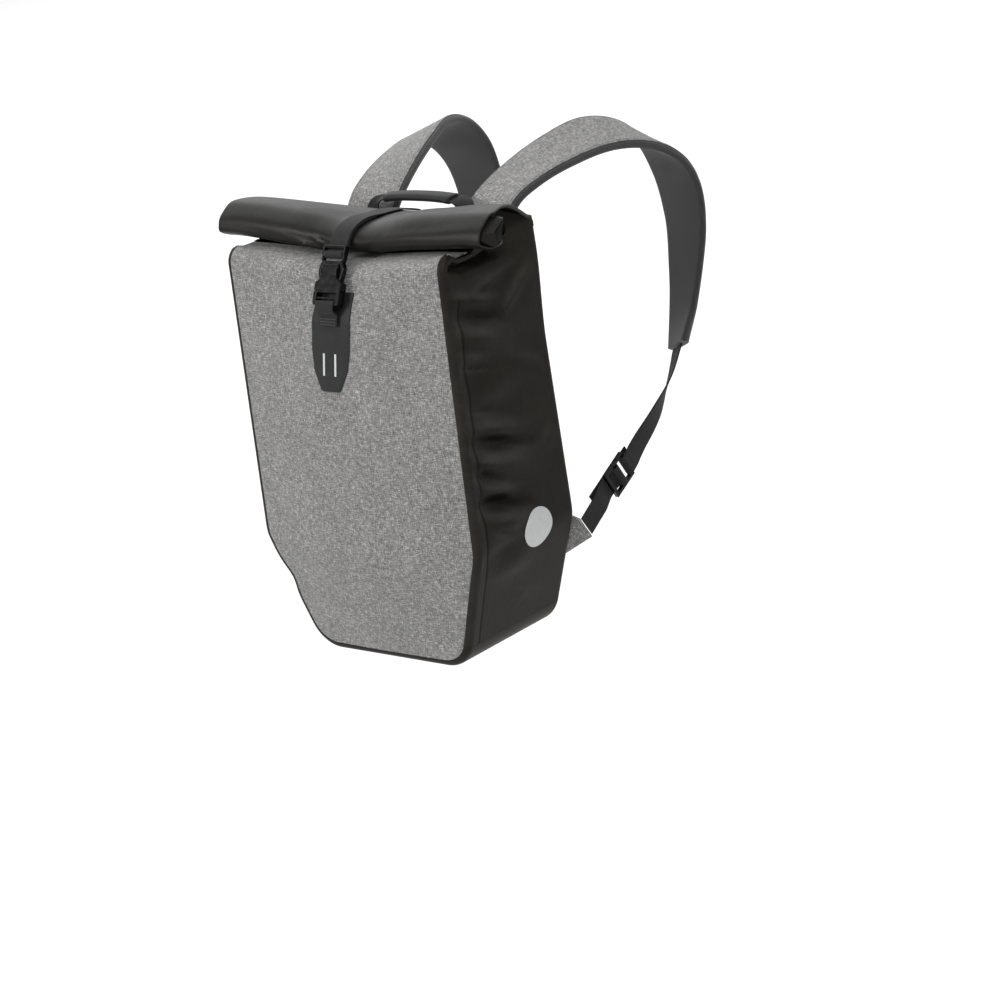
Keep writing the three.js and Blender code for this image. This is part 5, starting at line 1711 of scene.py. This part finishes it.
# A webbing's points and the ways across it: its run on the strap's line, then its turn in the adjuster
def web_run(lock, t, turn):
    across = np.repeat(mirror(lock.across, lock.side)[None], len(turn), axis=0)
    return np.vstack([lock.on_line(t), turn]), np.vstack([lock.way_at(t), across])


def lower_web(side):
    lock = Lock(side)
    half, reach = LOCK_HALF, LOCK_REACH
    behind = reach + WEB_THICK + REST_GAP
    leave = lock.share + (half + LOWER_LEAD) / lock.length
    t = lerp(1 - END_GAP / lock.length, leave, np.linspace(0, 1, 7))
    turn = np.array(
        [
            lock.at(-half - 7, -reach * 0.75),
            lock.at(-half - 1, -reach),
            lock.at(-half + LOCK_BAR + 1, -reach),
            lock.at(-LOCK_ROUND - 2.4, -reach * 0.8),
            lock.at(-LOCK_ROUND - 0.5, -reach * 0.4),
            *arc_points(lock.at, 0, 0, LOCK_ROUND, 180, -20, 10),
            lock.at(LOCK_ROUND * 0.86, -reach * 0.8),
            lock.at(LOCK_ROUND * 0.5, -behind * 0.86),
            lock.at(-1, -behind),
            lock.at(-10, -behind - 0.3),
            lock.at(-half - 3, -behind - 0.3),
            lock.at(LOCK_ROUND - TAIL_LENGTH, -behind - 0.3),
        ]
    )
    return web_run(lock, t, turn)


def upper_web(side):
    lock = Lock(side)
    half, reach = LOCK_HALF, LOCK_REACH
    bar = half - LOCK_BAR / 2
    leave = lock.share - (half + UPPER_LEAD) / lock.length
    t = lerp(END_GAP / lock.length, leave, np.linspace(0, 1, 15))
    turn = np.array(
        [
            lock.at(half + 14, reach * 0.4),
            lock.at(half + 6, reach * 0.9),
            lock.at(half, reach + 0.3),
            *arc_points(lock.at, bar, 0, LOCK_ROUND, 90, 270, 8),
            lock.at(half, -reach - 0.5),
            lock.at(half + TAIL_FOLD - 4, -reach - 0.2),
        ]
    )
    return web_run(lock, t, turn)


def wing_grid(side):
    top, foot, tip = wing_places(1)
    points, ways = web_rows(1)
    along = unit(points[-1] - points[-2])
    seam = unit(ways[-1] - along * np.dot(ways[-1], along))
    low_tip = tip - seam * (WEB_WIDTH + 2) / 2
    high_tip = tip + seam * (WEB_WIDTH + 2) / 2
    grid = []
    for t in np.linspace(0, 1, 18):
        low = lerp(foot, low_tip, t)
        high = lerp(top, high_tip, t)
        s = np.linspace(0, 1, 24)[:, None]
        grid.append(mirror(lerp(low, high, s), side))
    grid = np.array(grid)
    return grid + grid_normals(grid) * WING_THICK / 2


for side, word in SIDES:
    for name, maker, node in (
        ("lower_web", lower_web, "strap_webbing"),
        ("upper_web", upper_web, "pad_webbing"),
    ):
        points, ways = maker(side)
        line, across = even_line(points, 1.8, ways)
        piece = sweep_object(f"{name}_{word}", line, across, WEB_RING)
        dress(piece, WEBBING, "black_webbing", f"{node}_{word}")
    grid = wing_grid(side)
    name, node = f"wing_cloth_{word}", f"wing_{word}"
    piece = lay_cloth(name, grid, WING_THICK, HEATHER_STRAP, "heather_cloth", node)
    out = grid_normals(grid)
    inner = slice(1, -1)
    seams = [(grid[at] + out[at] * 0.05, out[at]) for at in ((inner, -3), (-3, inner), (-5, inner))]
    sew(f"wing_stitches_{word}", seams, 3.0, 2.1, 0.28, 0.1)


# Carry handle and its grip
HANDLE_STEPS = 240


def handle_line():
    rows = np.array(HANDLE_ROWS, float)
    seat = REST_GAP + WEB_THICK / 2
    points = np.stack(
        [
            rows[:, 0] * HANDLE_HALF_SPAN,
            seat + rows[:, 2] * HANDLE_LEAN,
            BACK_HEIGHT + rows[:, 1] * HANDLE_RISE,
        ],
        axis=1,
    )
    ways = rows[:, 3:]
    points = np.vstack([points, mirror(points[:-1][::-1], -1)])
    ways = np.vstack([ways, mirror(ways[:-1][::-1], -1)])
    t = np.linspace(0, 1, HANDLE_STEPS)
    return spline(points, t), unit(spline(ways, t))


line, ways = handle_line()
handle = sweep_object("handle_web", line, ways, flat_ring(HANDLE_WIDTH, WEB_THICK, 22))
dress(handle, WEBBING, "black_webbing", "carry_handle")


def grip_rings(line):
    keep = np.abs(line[:, 0]) < GRIP_HALF
    count = int(keep.sum())
    rings = []
    for share in np.linspace(-1, 1, count):
        near = min((1 - abs(share)) * GRIP_HALF / 4, 1)
        size = 0.82 + 0.18 * math.sqrt(1 - (1 - near) ** 2)
        angles = np.linspace(0, 2 * math.pi, 29)[:-1]
        a, b = np.cos(angles), np.sin(angles)
        bulk = np.maximum(np.abs(a), np.abs(b)) ** 0.35
        rings.append(np.stack([a * GRIP_WIDTH / 2 / bulk * size, b * GRIP_THICK / 2 / bulk * size], axis=1))
    return keep, rings


way, up = across_and_up(line, ways)
seams = []
for at in (3, 6, 9, 12, -4, -7, -10, -13):
    for face in (-1, 1):
        off = (HANDLE_WIDTH / 2 - 2) * np.linspace(-1, 1, 7)
        seams.append((line[at] + way[at] * off[:, None] + face * up[at] * WEB_THICK / 2, face * up[at]))
sew("handle_stitches", seams, 2.6, 1.9, 0.28, 0.08)

keep, rings = grip_rings(line)
grip = sweep_object("grip_sleeve", line[keep], ways[keep], rings)
dress(grip, RUBBERISED, "grey_rubber", "handle_grip")


# Moulded plates: closed outlines with rounded corners, holes among them, with rounded rims
CORNER_STEPS = 7


def rounded_loop(corners):
    points = []
    count = len(corners)
    for k, (x, y, radius) in enumerate(corners):
        here = np.array([x, y], float)
        before = np.array(corners[k - 1][:2], float) - here
        after = np.array(corners[(k + 1) % count][:2], float) - here
        first, second = unit(before), unit(after)
        half = math.acos(float(np.clip(np.dot(first, second), -1, 1))) / 2
        reach = radius / math.tan(half)
        reach = min(reach, np.linalg.norm(before) * 0.49, np.linalg.norm(after) * 0.49)
        a, b = here + first * reach, here + second * reach
        for t in np.linspace(0, 1, CORNER_STEPS):
            points.append(a * (1 - t) ** 2 + 2 * here * t * (1 - t) + b * t * t)
    return points


def plate_object(name, loops, low, high, rim, nodes=(), crown=None):
    curve = bpy.data.curves.new(name + "_outline", "CURVE")
    curve.dimensions = "2D"
    curve.fill_mode = "BOTH"
    curve.extrude = (high - low) / 2 - rim
    curve.bevel_depth = rim
    curve.bevel_resolution = 3
    curve.offset = -rim
    for loop in loops:
        line = curve.splines.new("POLY")
        line.points.add(len(loop) - 1)
        line.points.foreach_set("co", [c for p in loop for c in (p[0], p[1], 0.0, 1.0)])
        line.use_cyclic_u = True
    holder = bpy.data.objects.new(name + "_outline", curve)
    bpy.context.scene.collection.objects.link(holder)
    shape = holder.evaluated_get(bpy.context.evaluated_depsgraph_get())
    mesh = bpy.data.meshes.new_from_object(shape)
    bpy.data.objects.remove(holder)
    points = np.empty(len(mesh.vertices) * 3)
    mesh.vertices.foreach_get("co", points)
    points = points.reshape(-1, 3)
    faces = [tuple(face.vertices) for face in mesh.polygons]
    bpy.data.meshes.remove(mesh)
    across, along, off = points[:, 0], points[:, 1], points[:, 2] + (low + high) / 2
    if crown is not None:
        off = off + crown(across, along)
    placed = np.array([at_buckle(u, w, x) for x, u, w in zip(across, along, off)])
    made = make_object(name, placed, outward(placed - placed.mean(axis=0), faces), sharp=38)
    return dress(made, PLASTIC, "black_plastic", *nodes)


def both_sides(half):
    return half + [(-x, y, radius) for x, y, radius in reversed(half)]


def slot_loop(half, low, high, radius=0.9):
    corners = ((-half, low), (half, low), (half, high), (-half, high))
    return rounded_loop([(x, y, radius) for x, y in corners])


SOCKET_HALF = SOCKET_WIDTH / 2
WAIST_LOW = 24.5
socket_outline = rounded_loop(
    both_sides(
        [
            (SOCKET_HALF - 1.2, 0, 1.6),
            (SOCKET_HALF, 4, 3),
            (SOCKET_HALF, 13.2, 0.4),
            (SOCKET_HALF - 0.9, 14.0, 0.4),
            (SOCKET_HALF - 0.9, 14.8, 0.4),
            (SOCKET_HALF, 15.6, 0.4),
            (SOCKET_HALF, WAIST_LOW - 2, 1.4),
            (SOCKET_HALF - 2.4, WAIST_LOW, 1.4),
            (SOCKET_HALF - 6.4, WAIST_LOW + 2.6, 4),
            (SOCKET_HALF - 8.2, WAIST_LOW + 9, 6),
            (SOCKET_HALF - 6.6, SOCKET_LENGTH - 1.6, 1.2),
            (SOCKET_HALF - 7.4, SOCKET_LENGTH, 0.8),
        ]
    )
)
web_half = WEB_WIDTH / 2 + 0.7


def socket_crown(x, u):
    return 0.7 * (1 - (x / SOCKET_HALF) ** 2) * smooth(13, 20, u) * (1 - smooth(36, 42, u))


SOCKET_FACE = SOCKET_THICK / 2
plate_object(
    "socket_shell",
    [socket_outline, slot_loop(web_half, BAR_THICK, 12.6)],
    -SOCKET_FACE,
    SOCKET_FACE,
    1.1,
    ["buckle_socket"],
    socket_crown,
)
plate_object("socket_bar", [slot_loop(web_half + 1, 6.4, 8.6, 0.6)], 0.6, 3.4, 0.5)
rim_slot = slot_loop(SOCKET_HALF - 2.2, 15.4, 16.6, 0.5)
plate_object("socket_rim", [rim_slot], SOCKET_FACE - 0.6, SOCKET_FACE + 0.75, 0.4)

plug_half = web_half + 2.2
plug_outline = rounded_loop(
    both_sides(
        [
            (9.6, SOCKET_LENGTH - 8, 0.4),
            (9.6, SOCKET_LENGTH + 1.2, 1.6),
            (plug_half - 1.4, PLUG_FOOT + 1.6, 1.8),
            (plug_half, PLUG_FOOT + 4.6, 1.6),
            (plug_half, PLUG_FOOT + PLUG_FRAME, 1.8),
        ]
    )
)
plate_object(
    "plug_frame",
    [
        plug_outline,
        slot_loop(web_half, PLUG_FOOT + BAR_THICK, PLUG_FOOT + MID_BAR),
        slot_loop(web_half, PLUG_FOOT + MID_BAR + BAR_THICK, PLUG_FOOT + PLUG_FRAME - BAR_THICK),
    ],
    -PLUG_THICK / 2,
    PLUG_THICK / 2,
    0.9,
    ["buckle_plug"],
)


# The two edges of a prong, outer and inner: how far in from the plug's side, and how far up
ARM_EDGES = (
    ((3.4, PLUG_FOOT + 3.4), (-0.6, 41), (-1.6, 34), (0.2, 27.6), (2.6, 22.4)),
    ((5.4, 22.4), (3.4, 27.4), (2.2, 33), (3.0, 38.6), (6.6, PLUG_FOOT + 1.6)),
)
ARM_FACE = 2.9


def arm_outline(side):
    points = []
    for edge in ARM_EDGES:
        line = spline([(plug_half - inward, up, 0) for inward, up in edge], np.linspace(0, 1, 26))
        points.extend((side * p[0], p[1]) for p in line)
    return points


for side, word in SIDES:
    plate_object(f"plug_arm_{word}", [arm_outline(side)], -ARM_FACE, ARM_FACE, 0.9)

# The adjusters keep their solids, with softened edges
for _, word in SIDES:
    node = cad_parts[f"ladder_lock_{word}"]
    if not node.data.materials:
        node.data.materials.append(PLASTIC)
    for slot in node.material_slots:
        slot.material = PLASTIC
    bevel = node.modifiers.new("softened", "BEVEL")
    bevel.width = 0.0006
    bevel.segments = 3
    bevel.limit_method = "ANGLE"
    bevel.angle_limit = math.radians(40)

# Floor, light and camera, in metres
FLOOR_HEIGHT = -1.25
FLOOR_HALF = 14
floor_mesh = bpy.data.meshes.new("floor")
corners = ((-1, -1), (1, -1), (1, 1), (-1, 1))
floor_points = [(x * FLOOR_HALF, y * FLOOR_HALF, FLOOR_HEIGHT) for x, y in corners]
floor_mesh.from_pydata(floor_points, [], [(0, 1, 2, 3)])
floor = bpy.data.objects.new("floor", floor_mesh)
bpy.context.scene.collection.objects.link(floor)
g = Graph("pale_floor", Roughness=0.8)
soft = g.noise(g.place("Object", (1, 1, 1)), scale=0.6, detail=2.0)
g.surface("Base Color", g.mix(soft, (0.71, 0.71, 0.71), (0.75, 0.75, 0.75)))
floor_mesh.materials.append(g.material)

world = bpy.data.worlds.new("studio")
bpy.context.scene.world = world
world.use_nodes = True
background = world.node_tree.nodes["Background"]
background.inputs[0].default_value = (1, 1, 1, 1)
background.inputs[1].default_value = 0.62
bpy.context.scene.view_settings.view_transform = "Standard"


def area_light(name, place, target, size, power, colour=(1, 1, 1)):
    data = bpy.data.lights.new(name, "AREA")
    data.shape = "RECTANGLE"
    data.size, data.size_y = size
    data.energy = power
    data.color = colour
    made = bpy.data.objects.new(name, data)
    made.location = place
    made.rotation_mode = "QUATERNION"
    made.rotation_quaternion = (Vector(target) - Vector(place)).to_track_quat("-Z", "Y")
    bpy.context.scene.collection.objects.link(made)


area_light("key", (-1.25, -2.5, 1.05), (0, -0.08, -0.15), (0.9, 1.1), 54, (1, 0.99, 0.975))
area_light("fill", (2.3, -1.7, 1.9), (0, -0.05, -0.2), (0.5, 0.5), 46, (1, 0.985, 0.96))
area_light("top", (0.2, 0.4, 2.4), (0, 0, 0), (1.6, 1.6), 3)
area_light("floor_light", (-5.2, 5.6, 2.6), (-5.2, 5.6, FLOOR_HEIGHT), (12.0, 12.0), 620)

# The camera that was fitted to the photograph: place, angles and focal length as sensor widths
CAMERA_PLACE = (2.186174, -2.2392, 0.709103)
CAMERA_ANGLES = (43.676, 17.593, -9.217)
CAMERA_FOCUS = 3.106959
SENSOR_WIDTH = 36
camera_data = bpy.data.cameras.new("camera")
camera_data.sensor_width = SENSOR_WIDTH
camera_data.lens = SENSOR_WIDTH * CAMERA_FOCUS
camera_data.clip_start = 0.05
camera_data.clip_end = 60
camera = bpy.data.objects.new("camera", camera_data)
bpy.context.scene.collection.objects.link(camera)
azimuth, elevation, roll_angle = (math.radians(a) for a in CAMERA_ANGLES)
behind = Vector(
    (
        math.sin(azimuth) * math.cos(elevation),
        -math.cos(azimuth) * math.cos(elevation),
        math.sin(elevation),
    )
)
right = (-behind).cross(Vector((0, 0, 1))).normalized()
upward = right.cross(-behind)
across = right * math.cos(roll_angle) + upward * math.sin(roll_angle)
above = upward * math.cos(roll_angle) - right * math.sin(roll_angle)
turned = Matrix((across, above, behind)).transposed().to_4x4()
turned.translation = Vector(CAMERA_PLACE)
camera.matrix_world = turned
bpy.context.scene.camera = camera
